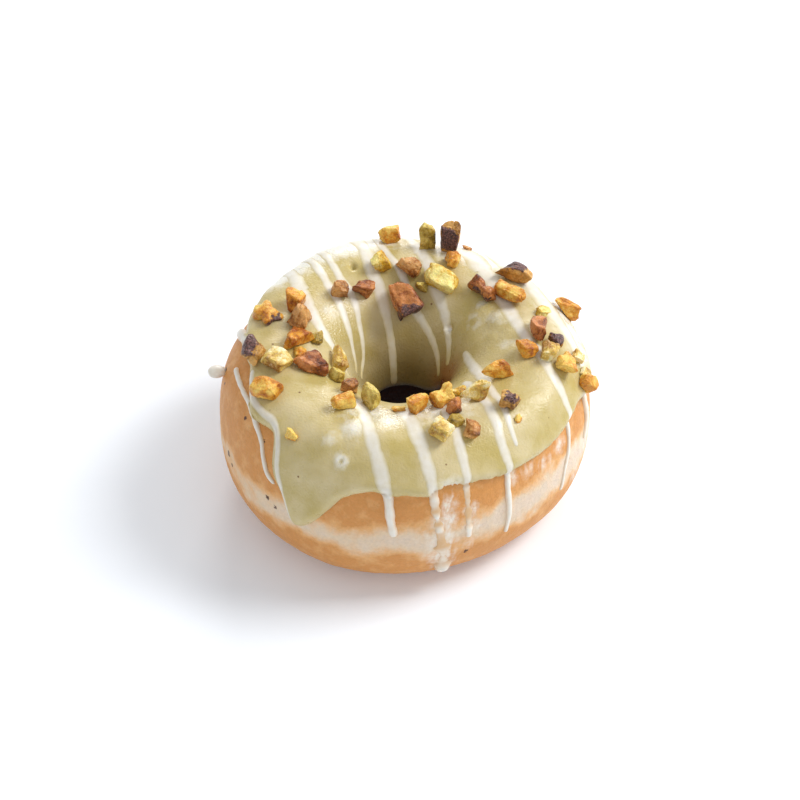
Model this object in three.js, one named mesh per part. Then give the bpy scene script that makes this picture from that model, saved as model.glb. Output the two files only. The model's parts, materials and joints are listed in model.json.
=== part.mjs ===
// A yeast-raised ring doughnut, dipped in pistachio glaze, drizzled with white icing and topped
// with chopped roasted pistachios. Millimetres, +Z up. The origin lies under the centre of the
// hole, on the surface that the doughnut rests on.
//
// A place on the doughnut is two angles in degrees. The ring angle goes round the hole from +X
// towards +Y. The tube angle goes round the section of the dough: 0 is the outer equator, 90 the
// crest, 180 the wall of the hole and -90 the foot.

import * as THREE from 'three';
import { ConvexGeometry } from 'three/addons/geometries/ConvexGeometry.js';
import { ParametricGeometry } from 'three/addons/geometries/ParametricGeometry.js';
import { mergeVertices } from 'three/addons/utils/BufferGeometryUtils.js';

// Dough: the section is a rounded square, taller at the back, where the ring proved more.
const OUTER_RADIUS = 44.3;
const CREST_RADIUS = 28.8;
const HOLE_RADIUS = 9;
const FRONT_HEIGHT = 41.6;
const BACK_RISE = 2.6;
const EQUATOR_HEIGHT = 19.2;
const FOOT_FLAT = 0.8;            // how much of the foot its own weight pressed flat
const SHOULDER_LEAN = 3;          // how far the hole's mouth flares towards the crest
const SQUARENESS = 2.3;           // 2 would be an ellipse
// Where the ring was squeezed as it proved: [ring angle, spread in degrees, depth].
const DENTS = [[146, 21, 3.6], [18, 20, 1.2]];
const DOUGH_STEPS = { ring: 72, tube: 26 };

// Coatings
const GAP = 0.3;                  // between one piece and the next
const GLAZE_STANDOFF = 0.4;       // under the glaze, whose inner face is made of flats
const GLAZE_THICKNESS = 1.2;
const GLAZE_BEAD = 2.5;           // how far from its edge the glaze reaches its full thickness
const GLAZE_STEPS = { ring: 108, outside: 12, inside: 16 };
const ICING_HEIGHT = 0.7;
const ICING_STEP = 2.4;           // length of one stretch of an icing line
const ICING_SIDES = 6;

// Chopped nuts
const NUT_CORNERS = 13;
const NUT_ROUGHNESS = 0.22;       // how unevenly a nut broke, as a share of its half size
const NUT_FLATTENING = 1.5;       // 1 would be round at the top and bottom
const NUT_SEED = 97;

const FULL_TURN = 360;
const GOLDEN_ANGLE = Math.PI * (3 - Math.sqrt(5));
const UP = new THREE.Vector3(0, 0, 1);
const degrees = THREE.MathUtils.degToRad;
const clamp = THREE.MathUtils.clamp;

// The lower edge of the glaze on the outside: [ring angle, tube angle]. It runs low where the
// glaze dripped, and high over the notch where the dough stayed bare.
const GLAZE_EDGE = [
  [8, 32], [22, 36], [35, 27], [48, 35], [60, 38], [72, 26], [84, 37], [98, 33], [112, 39],
  [124, 28], [138, 42], [152, 51], [170, 61], [191, 68], [209, 48], [221, 53], [225, 40],
  [229, 22], [233, 6], [237, 0], [242, 6], [247.5, 19], [252, 32], [260, 39], [268, 35],
  [277, 32], [284, 38], [295, 35], [304, 32], [320, 32], [332, 34], [342, 37], [355, 29],
];

// The edge of the glaze in the hole: it covers the whole wall at the back and stops short at the
// front.
const GLAZE_HOLE_EDGE = [
  [10, 165], [25, 175], [50, 179], [175, 179], [205, 168], [240, 154], [300, 150], [340, 150],
];

// The icing lines, each a list of [ring angle, tube angle, width]. They were poured in strokes
// from the back left to the front right, and the last of each stroke hangs as a thin drip.
const ICING_LINES = {
  icing_line_far_left: [
    [187, 52, 1.4], [199, 53, 1.5], [205, 53, 1.5], [212.5, 47.5, 1.5], [218, 40, 1.4],
    [221, 30.5, 1.3], [224.5, 22, 1.3], [227.5, 19, 1],
  ],
  icing_line_left: [
    [196, 70, 1.6], [206, 61, 1.8], [214.5, 60, 1.7], [220, 61, 1.8], [223.5, 57, 1.7],
    [227, 46.5, 1.4], [229, 34, 1.4], [232, 22, 1.2], [236, 5, 1],
  ],
  icing_line_front_left: [
    [238.5, 111, 2.4], [245, 105.5, 2.8], [252, 95, 2.8], [256, 85, 3], [259.5, 70.5, 3.2],
    [262, 57.5, 3.2], [263.5, 46.5, 3], [265, 35.5, 2.4], [265.5, 25.5, 2.3], [266, 16, 2.2],
    [267, 4.5, 2.2],
  ],
  icing_line_front: [
    [267, 113, 2.6], [270.5, 104, 3.2], [273.5, 95.5, 3.4], [275, 86, 3.4], [276.5, 74, 3.3],
    [277.5, 61.5, 3], [278.5, 50, 2.8], [279, 40.5, 2.4], [279.5, 31, 2], [280, 19, 1.6],
    [281, 6.5, 2.2], [282, -6.5, 3], [282.5, -20, 3.4], [282.5, -36, 3],
  ],
  icing_line_front_right: [
    [291.5, 101, 2.4], [291, 91, 2.6], [291, 79.5, 2.7], [290.5, 67.5, 2.6],
    [290.5, 55.5, 2.4], [290.5, 44, 2.2], [290.5, 33.5, 1.8], [290.5, 20.5, 2],
    [290.5, 8, 1.8], [290.5, -2, 1.2],
  ],
  icing_line_right: [
    [321, 122.5, 2], [316, 110, 2.4], [313, 98.5, 2.5], [311, 90.5, 2.5], [309, 81.5, 2.5],
    [307.5, 71, 2.5], [306, 60.5, 2.5], [305.5, 50.5, 2.5], [305.5, 41.5, 2.1],
    [305.5, 30.5, 1.6], [305, 20, 1.6], [305, 9, 1.6], [305, 1.5, 1.6], [304.5, -4, 1.2],
    [304, -11, 1],
  ],
  icing_line_right_short: [
    [7, 136.5, 1.8], [352.5, 132.5, 2.3], [335.5, 121.5, 2.4], [325.5, 108.5, 2.4],
    [321, 100, 2.2], [318, 92.5, 1.9], [316.5, 87, 1.7], [314, 77, 1.7], [312, 67, 1.5],
    [311, 57.5, 1.2], [310.5, 48.5, 1],
  ],
  icing_line_right_inner: [
    [84, 22, 1.4], [80, 44, 2.2], [73, 62, 2.8], [62, 77.5, 3.4], [52, 87.5, 4],
    [41.5, 93.5, 4], [32, 96.5, 3.4], [23, 98, 3.2], [13.5, 98, 3], [3, 96, 2.8],
    [355, 91, 2.8], [349, 84.5, 2.6], [343.5, 75.5, 2.5], [339.5, 63, 2.4], [337, 52, 2.2],
    [335.5, 42, 1.8], [334.5, 28.5, 1.3], [333, 16, 1.2], [330, 2, 1.1], [328.5, -8, 1],
  ],
  icing_line_right_outer: [
    [70, 18, 1.4], [64, 44, 2.4], [56, 62, 3], [47.5, 71, 3.4], [38.5, 73.5, 4.2],
    [30.5, 72, 4.8], [21.5, 70, 4.8], [13.5, 66, 4.8], [7, 61, 4.4], [1, 55, 3.8],
    [356, 47, 3.2], [352, 39.5, 2.6], [349, 29, 2.2], [347, 15, 1.8], [344, 6, 1.2],
  ],
  icing_line_back_1: [
    [136, 30, 1.6], [136.5, 50, 2.4], [139, 64.5, 3], [144, 81, 3.3], [150, 92.5, 3.2],
    [157.5, 103, 2.8], [164.5, 113, 2.6], [171.5, 122.5, 2.3], [180, 130.5, 1.9],
    [195.5, 136.5, 1.4], [206, 137, 1],
  ],
  icing_line_back_2: [
    [128.5, 34, 1.3], [129, 55, 1.8], [130, 72.5, 2.2], [132, 86, 2.4], [136, 99.5, 2.5],
    [139, 110, 2.5], [143, 120, 2.2], [149, 130.5, 1.8], [157.5, 139.5, 1.3],
    [170.5, 148.5, 1.1], [183, 150, 1],
  ],
  icing_line_back_3: [
    [121, 14, 1.3], [122.5, 48, 1.7], [124, 78, 2.2], [125.5, 91.5, 2.4], [127.5, 101.5, 2.4],
    [128, 112.5, 2.4], [130, 122.5, 2.3], [134, 131.5, 2], [142, 142.5, 1.5], [157, 153, 1.2],
    [180, 157, 1],
  ],
  icing_line_back_4: [
    [112, 24, 1.8], [110, 50, 2.8], [108, 82, 3.2], [108, 96.5, 3.8], [108.5, 107.5, 3.6],
    [107.5, 120, 3.2], [107, 131.5, 2.8], [106.5, 143.5, 2.2], [106, 154.5, 1.8],
    [107.5, 168, 1.4],
  ],
  icing_line_back_5: [
    [101, 17, 1.3], [100.5, 45, 1.8], [100.5, 80.5, 2], [98, 93, 2.2], [92.5, 105, 2.2],
    [87.5, 119, 2.2], [79.5, 132.5, 2.2], [67.5, 140.5, 2.1], [53, 147.5, 1.9],
    [37.5, 154.5, 1.6], [22, 163, 1.3],
  ],
  icing_line_back_6: [
    [92, -4, 1.4], [91, 38, 2.2], [88.5, 68, 2.2], [85, 82, 2.8], [81, 90.5, 3.2],
    [74.5, 102.5, 3.4], [68, 114.5, 3.2], [58.5, 124, 2.8], [46.5, 133.5, 2.4],
    [30.5, 143.5, 2], [15, 152.5, 1.4],
  ],
};

// The drop of icing that set on the bare dough at the left.
const ICING_DROP = { ring: 181, tube: 32, along: 3, up: 3, out: 3.2 };

// The chopped pistachios: [colour, ring angle, tube angle, length, width, height, turn], with
// the length along the ring where the turn is 0 and towards the hole where it is 90.
const NUTS = [
  ['golden', 96, 78, 5.6, 3.6, 3, 0],
  ['olive', 79.5, 83.5, 3.6, 3.2, 5, 0],
  ['purple', 69.5, 82.5, 5, 3.8, 6.6, 10],
  ['golden', 63.5, 94.5, 5.2, 4, 3.2, 120],
  ['yellow', 103.5, 102, 5, 4.4, 2.8, 0],
  ['brown', 86.5, 106, 6.8, 4.2, 3, 135],
  ['yellow', 63.5, 110.5, 9.4, 5.4, 3, 172],
  ['olive', 76.5, 117, 3, 2.4, 2.2, 0],
  ['russet', 87.5, 126.5, 9.4, 7.2, 3.6, 110],
  ['brown', 135, 108.5, 4.4, 4.2, 2.8, 60],
  ['russet', 120, 115.5, 5.4, 3.8, 2.6, 140],
  ['purple', 36, 81.5, 9, 4.2, 3.2, 28],
  ['russet', 36.5, 104.5, 8, 4.2, 2.8, 174],
  ['golden', 27.5, 93.5, 9.8, 4.2, 2.8, 21],
  ['golden', 20.5, 49.5, 7.6, 4.6, 3, 63],
  ['russet', 2, 87, 8, 4.4, 3.2, 165],
  ['purple', 356.5, 75, 4.4, 3.6, 2.6, 30],
  ['pale', 348.5, 79.5, 5, 4.4, 3, 0],
  ['golden', 348, 92, 4.6, 4.4, 2.6, 45],
  ['golden', 347.5, 65.5, 6, 5, 2.8, 0],
  ['golden', 348.5, 42, 5.2, 3.6, 2.4, 90],
  ['golden', 329.5, 100.5, 7.3, 3.5, 2.8, 118],
  ['golden', 168, 81.5, 8, 7.4, 2.2, 20],
  ['golden', 158.5, 93, 4.8, 4, 2.6, 0],
  ['brown', 168.5, 101, 7.2, 5.4, 4.6, 0],
  ['golden', 184.5, 101.5, 8.2, 4.6, 3, 136],
  ['purple', 190.5, 75.5, 6.6, 5.6, 3.2, 20],
  ['pale', 198, 89.5, 6.8, 6, 3, 40],
  ['russet', 203, 107.5, 8.8, 7.2, 3, 40],
  ['olive', 215, 118.5, 3.8, 2.8, 2.2, 0],
  ['pale', 194.5, 128.5, 5.4, 3.2, 2.2, 0],
  ['golden', 210, 73, 6.6, 5.4, 3, 30],
  ['golden', 238.5, 98, 6, 3.5, 2.6, 53],
  ['brown', 232.5, 115, 5, 3, 2.4, 94],
  ['olive', 250, 111, 6.8, 3.8, 3, 137],
  ['golden', 278.5, 105, 6.2, 3.6, 2.8, 18],
  ['golden', 294, 106, 5.8, 4.4, 3.2, 15],
  ['pale', 309.5, 96.5, 6.2, 5.6, 3.2, 20],
  ['russet', 296, 94, 4, 3.4, 2.6, 0],
  ['pale', 285.5, 81.5, 5.6, 5.4, 3, 40],
  ['brown', 297, 75, 4.4, 4, 2.6, 50],
  ['purple', 317, 80, 4.8, 3.8, 2.8, 120],
];

const MATERIALS = {
  dough: { color: '#cf8f55', roughness: 0.65, metalness: 0 },
  glaze: { color: '#bdb479', roughness: 0.35, metalness: 0 },
  icing: { color: '#e9e5d9', roughness: 0.35, metalness: 0 },
  golden: { color: '#cf973f', roughness: 0.6, metalness: 0 },
  yellow: { color: '#d9b840', roughness: 0.6, metalness: 0 },
  pale: { color: '#ddcb78', roughness: 0.65, metalness: 0 },
  olive: { color: '#a98f32', roughness: 0.6, metalness: 0 },
  brown: { color: '#a9672f', roughness: 0.6, metalness: 0 },
  russet: { color: '#8e4a24', roughness: 0.6, metalness: 0 },
  purple: { color: '#5b3a3f', roughness: 0.55, metalness: 0 },
};

// A squircle's coordinate for the cosine or sine of an angle.
function squircle(value) {
  return Math.sign(value) * Math.abs(value) ** (2 / SQUARENESS);
}

// The part of the squircle's outward normal that belongs to that coordinate.
function squircleNormal(value) {
  return Math.sign(value) * Math.abs(value) ** (2 - 2 / SQUARENESS);
}

// How far the hand-shaped ring bulges out past a true circle, at its outer equator.
function bulge(ring) {
  const oval = Math.cos(2 * ring) - 0.5 * Math.cos(ring);
  const lobes = 0.8 * Math.cos(3 * ring) + 0.4 * Math.sin(3 * ring);
  const squeezed = DENTS.map(([middle, spread, depth]) => {
    const turned = THREE.MathUtils.radToDeg(ring) - middle + FULL_TURN / 2;
    const away = THREE.MathUtils.euclideanModulo(turned, FULL_TURN) - FULL_TURN / 2;
    return depth * Math.exp(-((away / spread) ** 2));
  });
  return oval + lobes - squeezed.reduce((sum, depth) => sum + depth, 0);
}

// A place on the dough and the outward normal there; lift moves the place out along the normal.
function onDough(ringAngle, tubeAngle, lift = 0) {
  const ring = degrees(ringAngle);
  const c = Math.cos(degrees(tubeAngle));
  const s = Math.sin(degrees(tubeAngle));
  const height = FRONT_HEIGHT + BACK_RISE * (1 + Math.sin(ring)) / 2;
  const reach = c > 0 ? OUTER_RADIUS - CREST_RADIUS : CREST_RADIUS - HOLE_RADIUS;
  const rise = s > 0 ? height - EQUATOR_HEIGHT : EQUATOR_HEIGHT + FOOT_FLAT;
  const radius = CREST_RADIUS + reach * squircle(c) + SHOULDER_LEAN * s * (1 - c) / 2;
  const outwardness = clamp((radius - HOLE_RADIUS) / (OUTER_RADIUS - HOLE_RADIUS), 0, 1);
  const across = squircleNormal(c) / reach;
  const up = squircleNormal(s) / rise;
  const slope = Math.hypot(across, up);
  const normal = new THREE.Vector3(Math.cos(ring) * across, Math.sin(ring) * across, up);
  normal.divideScalar(slope);
  const bulged = radius + outwardness * bulge(ring);
  const z = Math.max(EQUATOR_HEIGHT + rise * squircle(s), 0);
  const point = new THREE.Vector3(bulged * Math.cos(ring), bulged * Math.sin(ring), z);
  point.addScaledVector(normal, lift);
  return { point, normal };
}

// A smooth closed outline through [ring angle, value] pairs, as a function of the ring angle.
function outline(pairs) {
  const count = pairs.length;
  return (ringAngle) => {
    const angle = ((ringAngle - pairs[0][0]) % FULL_TURN + FULL_TURN) % FULL_TURN + pairs[0][0];
    let index = count - 1;
    while (index > 0 && pairs[index][0] > angle) {
      index -= 1;
    }
    const [start, from] = pairs[index];
    const [end, to] = pairs[(index + 1) % count];
    const span = (end - start + FULL_TURN) % FULL_TURN;
    return THREE.MathUtils.lerp(from, to, THREE.MathUtils.smoothstep((angle - start) / span, 0, 1));
  };
}

const glazeEdge = outline(GLAZE_EDGE);
const glazeHoleEdge = outline(GLAZE_HOLE_EDGE);

// Length in millimetres of one degree of tube angle.
const TUBE_DEGREE = degrees(1) * (OUTER_RADIUS - HOLE_RADIUS) / 2;

// Thickness of the glaze at a distance from its edge, both in millimetres: a round bead.
function glazeThickness(distance) {
  const short = 1 - clamp(distance / GLAZE_BEAD, 0, 1);
  return GLAZE_THICKNESS * Math.sqrt(1 - short * short);
}

// How high an icing line has to ride over the dough to clear the glaze and its edges.
function coating(ringAngle, tubeAngle) {
  const reach = 2;
  const near = [-reach, 0, reach].map((offset) => glazeEdge(ringAngle + offset));
  const nearHole = [-reach, 0, reach].map((offset) => glazeHoleEdge(ringAngle + offset));
  const inside = Math.min(tubeAngle - Math.min(...near), Math.max(...nearHole) - tubeAngle);
  const cover = THREE.MathUtils.smoothstep(inside * TUBE_DEGREE, -2, -0.3);
  return GAP + cover * (GLAZE_STANDOFF + GLAZE_THICKNESS);
}

// One closed body from a geometry: shared corners are merged, flat slivers dropped and the faces
// turned outwards.
function closedBody(geometry) {
  geometry.deleteAttribute('normal');
  geometry.deleteAttribute('uv');
  const merged = mergeVertices(geometry);
  const place = (index) => new THREE.Vector3().fromBufferAttribute(merged.attributes.position, index);
  const corners = merged.index.array;
  const faces = [];
  let volume = 0;
  for (let i = 0; i < corners.length; i += 3) {
    const [a, b, c] = corners.slice(i, i + 3);
    if (a !== b && b !== c && c !== a) {
      faces.push([a, b, c]);
      volume += place(a).dot(place(b).cross(place(c)));
    }
  }
  const outward = volume > 0 ? faces : faces.map(([a, b, c]) => [a, c, b]);
  merged.setIndex(outward.flat());
  merged.computeVertexNormals();
  return merged;
}

function material(slot) {
  return new THREE.MeshStandardMaterial(MATERIALS[slot]);
}

function piece(name, slot, geometry) {
  const mesh = new THREE.Mesh(geometry, material(slot));
  mesh.name = name;
  return mesh;
}

// The baked ring: the section carried once round the hole.
function doughRing() {
  const surface = (u, v, target) => {
    target.copy(onDough((u % 1) * FULL_TURN, (v % 1) * FULL_TURN).point);
  };
  const geometry = new ParametricGeometry(surface, DOUGH_STEPS.ring, DOUGH_STEPS.tube);
  return piece('dough_ring', 'dough', closedBody(geometry));
}

// The glaze: a skin whose section runs over its outer face from edge to edge, then back inside.
function pistachioGlaze() {
  const { ring, outside, inside } = GLAZE_STEPS;
  const surface = (u, v, target) => {
    const ringAngle = (u % 1) * FULL_TURN;
    const step = (v % 1) * (outside + inside);
    const across = step <= outside ? step / outside : (outside + inside - step) / inside;
    const start = glazeEdge(ringAngle);
    const span = glazeHoleEdge(ringAngle) - start;
    const eased = (1 - Math.cos(Math.PI * across)) / 2;
    const tubeAngle = start + span * THREE.MathUtils.lerp(across, eased, 0.5);
    const fromEdge = Math.min(tubeAngle - start, start + span - tubeAngle) * TUBE_DEGREE;
    const thickness = step < outside ? glazeThickness(fromEdge) : 0;
    target.copy(onDough(ringAngle, tubeAngle, GLAZE_STANDOFF + thickness).point);
  };
  const geometry = new ParametricGeometry(surface, ring, outside + inside);
  return piece('pistachio_glaze', 'glaze', closedBody(geometry));
}

// The path of an icing line as a smooth curve of [ring angle, tube angle, width], unrolled so
// that it may cross ring angle 0.
function icingPath(points) {
  let previous = points[0][0];
  const unrolled = points.map(([ringAngle, tubeAngle, width]) => {
    const turns = Math.round((previous - ringAngle) / FULL_TURN);
    previous = ringAngle + turns * FULL_TURN;
    return new THREE.Vector3(previous, tubeAngle, width);
  });
  return new THREE.CatmullRomCurve3(unrolled, false, 'chordal');
}

// Where a point of an icing line rests, with the directions along and across the line.
function icingFrame(path, t) {
  const here = path.getPoint(t);
  const step = 0.01;
  const before = path.getPoint(Math.max(t - step, 0));
  const after = path.getPoint(Math.min(t + step, 1));
  const lift = coating(here.x, here.y);
  const { point, normal } = onDough(here.x, here.y, lift);
  const along = onDough(after.x, after.y, lift).point.sub(onDough(before.x, before.y, lift).point);
  const side = new THREE.Vector3().crossVectors(normal, along).normalize();
  return { point, normal, side, width: here.z };
}

function icingLength(path) {
  const samples = path.getPoints(40).map((place) => onDough(place.x, place.y).point);
  return samples.slice(1).reduce((sum, point, index) => sum + point.distanceTo(samples[index]), 0);
}

// An icing line: a low half-round section carried along its path, closing to a point at each end.
function icingLine(name, points) {
  const path = icingPath(points);
  const length = icingLength(path);
  const steps = Math.max(Math.round(length / ICING_STEP), 4);
  const surface = (u, v, target) => {
    const { point, normal, side, width } = icingFrame(path, u);
    const fromEnd = Math.min(u, 1 - u) * length;
    const short = 1 - clamp(fromEnd / width, 0, 1);
    const swell = Math.sqrt(1 - short * short);
    const angle = 2 * Math.PI * (v % 1);
    const height = ICING_HEIGHT * swell * (1 + Math.sin(angle)) / 2;
    target.copy(point);
    target.addScaledVector(side, (width / 2) * swell * Math.cos(angle));
    target.addScaledVector(normal, height);
  };
  const geometry = new ParametricGeometry(surface, steps, ICING_SIDES);
  return piece(name, 'icing', closedBody(geometry));
}

// The drop of icing: an egg shape standing out of the side of the dough.
function icingDrop() {
  const { ring, tube, along, up, out } = ICING_DROP;
  const { point, normal } = onDough(ring, tube, GAP + out / 2);
  const geometry = new THREE.SphereGeometry(0.5, 10, 8);
  geometry.scale(along, up, out);
  geometry.applyQuaternion(new THREE.Quaternion().setFromUnitVectors(UP, normal));
  geometry.translate(...point);
  return piece('icing_drop_left', 'icing', closedBody(geometry));
}

// A repeatable series of random numbers between -1 and 1.
function randomSeries(seed) {
  let state = seed;
  return () => {
    state = (state * 16807) % 2147483647;
    return (state / 2147483647) * 2 - 1;
  };
}

// Points along every icing line, with the half width there.
function icingTrack() {
  return Object.values(ICING_LINES).flatMap((points) => {
    const path = icingPath(points);
    return path.getPoints(60).map((place) => {
      return { point: onDough(place.x, place.y).point, reach: place.z / 2 };
    });
  });
}

// The directions in which a nut's length and width lie, in the plane that touches the ring.
function nutAxes(ringAngle, normal, turn) {
  const along = new THREE.Vector3(-Math.sin(degrees(ringAngle)), Math.cos(degrees(ringAngle)), 0);
  along.applyAxisAngle(normal, degrees(turn));
  return { along, across: new THREE.Vector3().crossVectors(normal, along) };
}

// How far a flat-bottomed nut has to stand off the dough: over the glaze, over an icing line
// where one runs under it, and over the hollow of the hole's wall.
function nutLift([, ringAngle, tubeAngle, length, width, , turn], track) {
  const { point, normal } = onDough(ringAngle, tubeAngle);
  const { along, across } = nutAxes(ringAngle, normal, turn);
  const crossed = track.some((line) => {
    const offset = line.point.clone().sub(point);
    const alongShare = offset.dot(along) / (length / 2 + line.reach);
    const acrossShare = offset.dot(across) / (width / 2 + line.reach);
    return Math.hypot(alongShare, acrossShare, offset.dot(normal) / length) < 1;
  });
  const ringReach = THREE.MathUtils.radToDeg(length / 2 / Math.hypot(point.x, point.y));
  const beside = [-ringReach, ringReach].map((offset) => {
    return onDough(ringAngle + offset, tubeAngle).point.sub(point).dot(normal);
  });
  const hollow = Math.max(...beside, 0);
  const bare = GLAZE_STANDOFF + GLAZE_THICKNESS + GAP;
  return bare + hollow + (crossed ? ICING_HEIGHT + GAP : 0);
}

// A nut's corners in a box from -1 to 1: spread evenly over a ball, pushed in or out at random,
// flattened at the top and bottom, then stretched until they touch every side of the box.
function nutCorners(random) {
  const corners = [];
  for (let corner = 0; corner < NUT_CORNERS; corner += 1) {
    const level = 1 - (2 * corner + 1) / NUT_CORNERS;
    const angle = GOLDEN_ANGLE * corner;
    const size = Math.sqrt(1 - level * level) * (1 + NUT_ROUGHNESS * random());
    const flattened = clamp(NUT_FLATTENING * level, -1, 1);
    corners.push(new THREE.Vector3(size * Math.cos(angle), size * Math.sin(angle), flattened));
  }
  const box = new THREE.Box3().setFromPoints(corners);
  const centre = box.getCenter(new THREE.Vector3());
  const half = box.getSize(new THREE.Vector3()).divideScalar(2);
  return corners.map((corner) => corner.sub(centre).divide(half));
}

// A chopped nut: the hull of its corners, resting flat on the coating under it.
function nut(index, row, track) {
  const [slot, ringAngle, tubeAngle, length, width, height, turn] = row;
  const { point, normal } = onDough(ringAngle, tubeAngle, nutLift(row, track) + height / 2);
  const { along, across } = nutAxes(ringAngle, normal, turn);
  const corners = nutCorners(randomSeries(NUT_SEED * (index + 1))).map((corner) => {
    const place = point.clone();
    place.addScaledVector(along, corner.x * length / 2);
    place.addScaledVector(across, corner.y * width / 2);
    return place.addScaledVector(normal, corner.z * height / 2);
  });
  const number = String(index + 1).padStart(2, '0');
  return piece(`pistachio_piece_${number}`, slot, closedBody(new ConvexGeometry(corners)));
}

const doughnut = new THREE.Group();
doughnut.add(doughRing());
doughnut.add(pistachioGlaze());
for (const [name, points] of Object.entries(ICING_LINES)) {
  doughnut.add(icingLine(name, points));
}
doughnut.add(icingDrop());
const track = icingTrack();
NUTS.forEach((row, index) => doughnut.add(nut(index, row, track)));

export default doughnut;
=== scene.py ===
# %% [markdown]
# # A ring doughnut with pistachio glaze
#
# The real thing is a yeast-raised ring of dough, fried on both sides, dipped face down in a pale
# green glaze, drizzled with white icing and scattered with chopped roasted pistachios.
#
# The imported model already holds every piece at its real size. It could be smoothed and coloured
# as it is, but its faces are large, so each piece is made again here as a fine surface in the
# same place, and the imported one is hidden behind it.

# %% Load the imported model
import json

import bpy
import numpy as np
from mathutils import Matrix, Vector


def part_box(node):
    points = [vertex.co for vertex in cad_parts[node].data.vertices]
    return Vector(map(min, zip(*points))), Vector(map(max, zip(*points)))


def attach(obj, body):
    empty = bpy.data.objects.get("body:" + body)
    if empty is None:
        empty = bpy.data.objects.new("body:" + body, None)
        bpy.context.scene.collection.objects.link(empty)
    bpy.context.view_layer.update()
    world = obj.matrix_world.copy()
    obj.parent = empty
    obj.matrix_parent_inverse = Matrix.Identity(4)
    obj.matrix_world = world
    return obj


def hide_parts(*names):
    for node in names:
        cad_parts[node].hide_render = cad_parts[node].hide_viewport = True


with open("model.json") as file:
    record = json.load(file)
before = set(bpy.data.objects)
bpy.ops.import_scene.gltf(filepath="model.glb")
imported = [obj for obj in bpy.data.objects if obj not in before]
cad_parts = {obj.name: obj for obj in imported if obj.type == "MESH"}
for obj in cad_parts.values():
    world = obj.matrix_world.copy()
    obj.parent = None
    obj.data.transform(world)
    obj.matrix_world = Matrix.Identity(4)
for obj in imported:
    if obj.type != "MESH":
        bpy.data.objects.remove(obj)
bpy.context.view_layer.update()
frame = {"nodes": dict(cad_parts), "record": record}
MM = 0.001
slot_of = {part["node"]: part["material_slot"] for part in frame["record"]["subparts"]}
print("pieces in the packed model:", len(frame["nodes"]))

# %% [markdown]
# ## Camera
#
# A doughnut on a table is mostly seen from above and from the front. A long lens from a good
# half metre keeps the ring from looking stretched, so it is used here instead of a wide lens
# held close.

# %% Camera
CAMERA_DISTANCE = 0.620
CAMERA_ELEVATION = np.radians(44)
CAMERA_LENS = 114.5
AIM_HEIGHT = 0.019
ASIDE = -0.88 * MM
RAISED = 3.1 * MM

camera_up = np.array([0, np.sin(CAMERA_ELEVATION), np.cos(CAMERA_ELEVATION)])
camera_back = np.array([0, -np.cos(CAMERA_ELEVATION), np.sin(CAMERA_ELEVATION)])
camera_data = bpy.data.cameras.new("camera")
camera_data.lens = CAMERA_LENS
camera = bpy.data.objects.new("camera", camera_data)
aim = np.array([ASIDE, 0, AIM_HEIGHT]) + RAISED * camera_up
camera.location = aim + CAMERA_DISTANCE * camera_back
camera.rotation_euler = (np.pi / 2 - CAMERA_ELEVATION, 0, 0)
bpy.context.scene.collection.objects.link(camera)
bpy.context.scene.camera = camera
print("camera at", [round(x, 3) for x in camera.location])

# %% [markdown]
# ## Colours and nodes
#
# Colours are easiest to pick as the hex values of a paint chart, but Blender mixes light, so each
# one is turned to its linear value first. A single helper adds every shader node, which keeps the
# materials short enough to read.

# %% Colour and node helpers
def colour(code):
    """The linear colour of a hex value: each channel's sRGB curve undone."""
    channel = np.array([int(code[i:i + 2], 16) for i in (1, 3, 5)]) / 255
    low, high = channel / 12.92, ((channel + 0.055) / 1.055) ** 2.4
    return (*np.where(channel <= 0.04045, low, high).tolist(), 1.0)


def node(tree, kind, inputs=None, **settings):
    """Adds one node, gives it its settings, and sets or links each of its inputs."""
    made = tree.nodes.new("ShaderNode" + kind)
    for name, value in settings.items():
        setattr(made, name, value)
    for name, value in (inputs or {}).items():
        if isinstance(value, bpy.types.NodeSocket):
            tree.links.new(value, made.inputs[name])
        else:
            made.inputs[name].default_value = value
    return made


def new_material(name):
    """An empty node material, with its tree and the places on the piece that it reads."""
    material = bpy.data.materials.new(name)
    material.use_nodes = True
    material.node_tree.nodes.clear()
    places = node(material.node_tree, "TexCoord").outputs["Object"]
    return material, material.node_tree, places


def per_size(millimetres):
    """The scale that gives a noise pattern spots of about that size."""
    return 1 / (millimetres * MM)


print("white is", colour("#ffffff"))

# %% [markdown]
# ## Light and floor
#
# The table is a plain white sheet in a light room. A sun would cut a hard shadow, so a large soft
# lamp at the right gives the direction, a small low one behind the ring puts the sparkle on its
# near crest, and an even white sky fills the shade. The floor is one large square, bright
# enough to turn white where nothing shades it, and faintly blue, because the crust throws warm
# light back onto it. It also glows faintly blue, though it is no lamp: painted light that lifts
# its shade and cools the warm light from the crust.

# %% Light and floor
SKY_STRENGTH = 0.6
# Each lamp's place and width in metres, and its watts.
LAMPS = {"key": ((1.12, 0.26, 1.22), 0.7, 22), "sparkle": ((0.05, 1.50, 0.68), 0.5, 8)}
FLOOR_SIZE = 8

world = bpy.data.worlds.new("studio")
world.use_nodes = True
world.node_tree.nodes["Background"].inputs["Color"].default_value = colour("#ffffff")
world.node_tree.nodes["Background"].inputs["Strength"].default_value = SKY_STRENGTH
bpy.context.scene.world = world
bpy.context.scene.view_settings.view_transform = "Standard"

for name, (place, size, power) in LAMPS.items():
    lamp_data = bpy.data.lights.new(name, "AREA")
    lamp_data.size = size
    lamp_data.energy = power
    lamp = bpy.data.objects.new(name, lamp_data)
    lamp.location = place
    lamp.rotation_euler = lamp.location.to_track_quat("Z", "Y").to_euler()
    bpy.context.scene.collection.objects.link(lamp)

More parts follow.
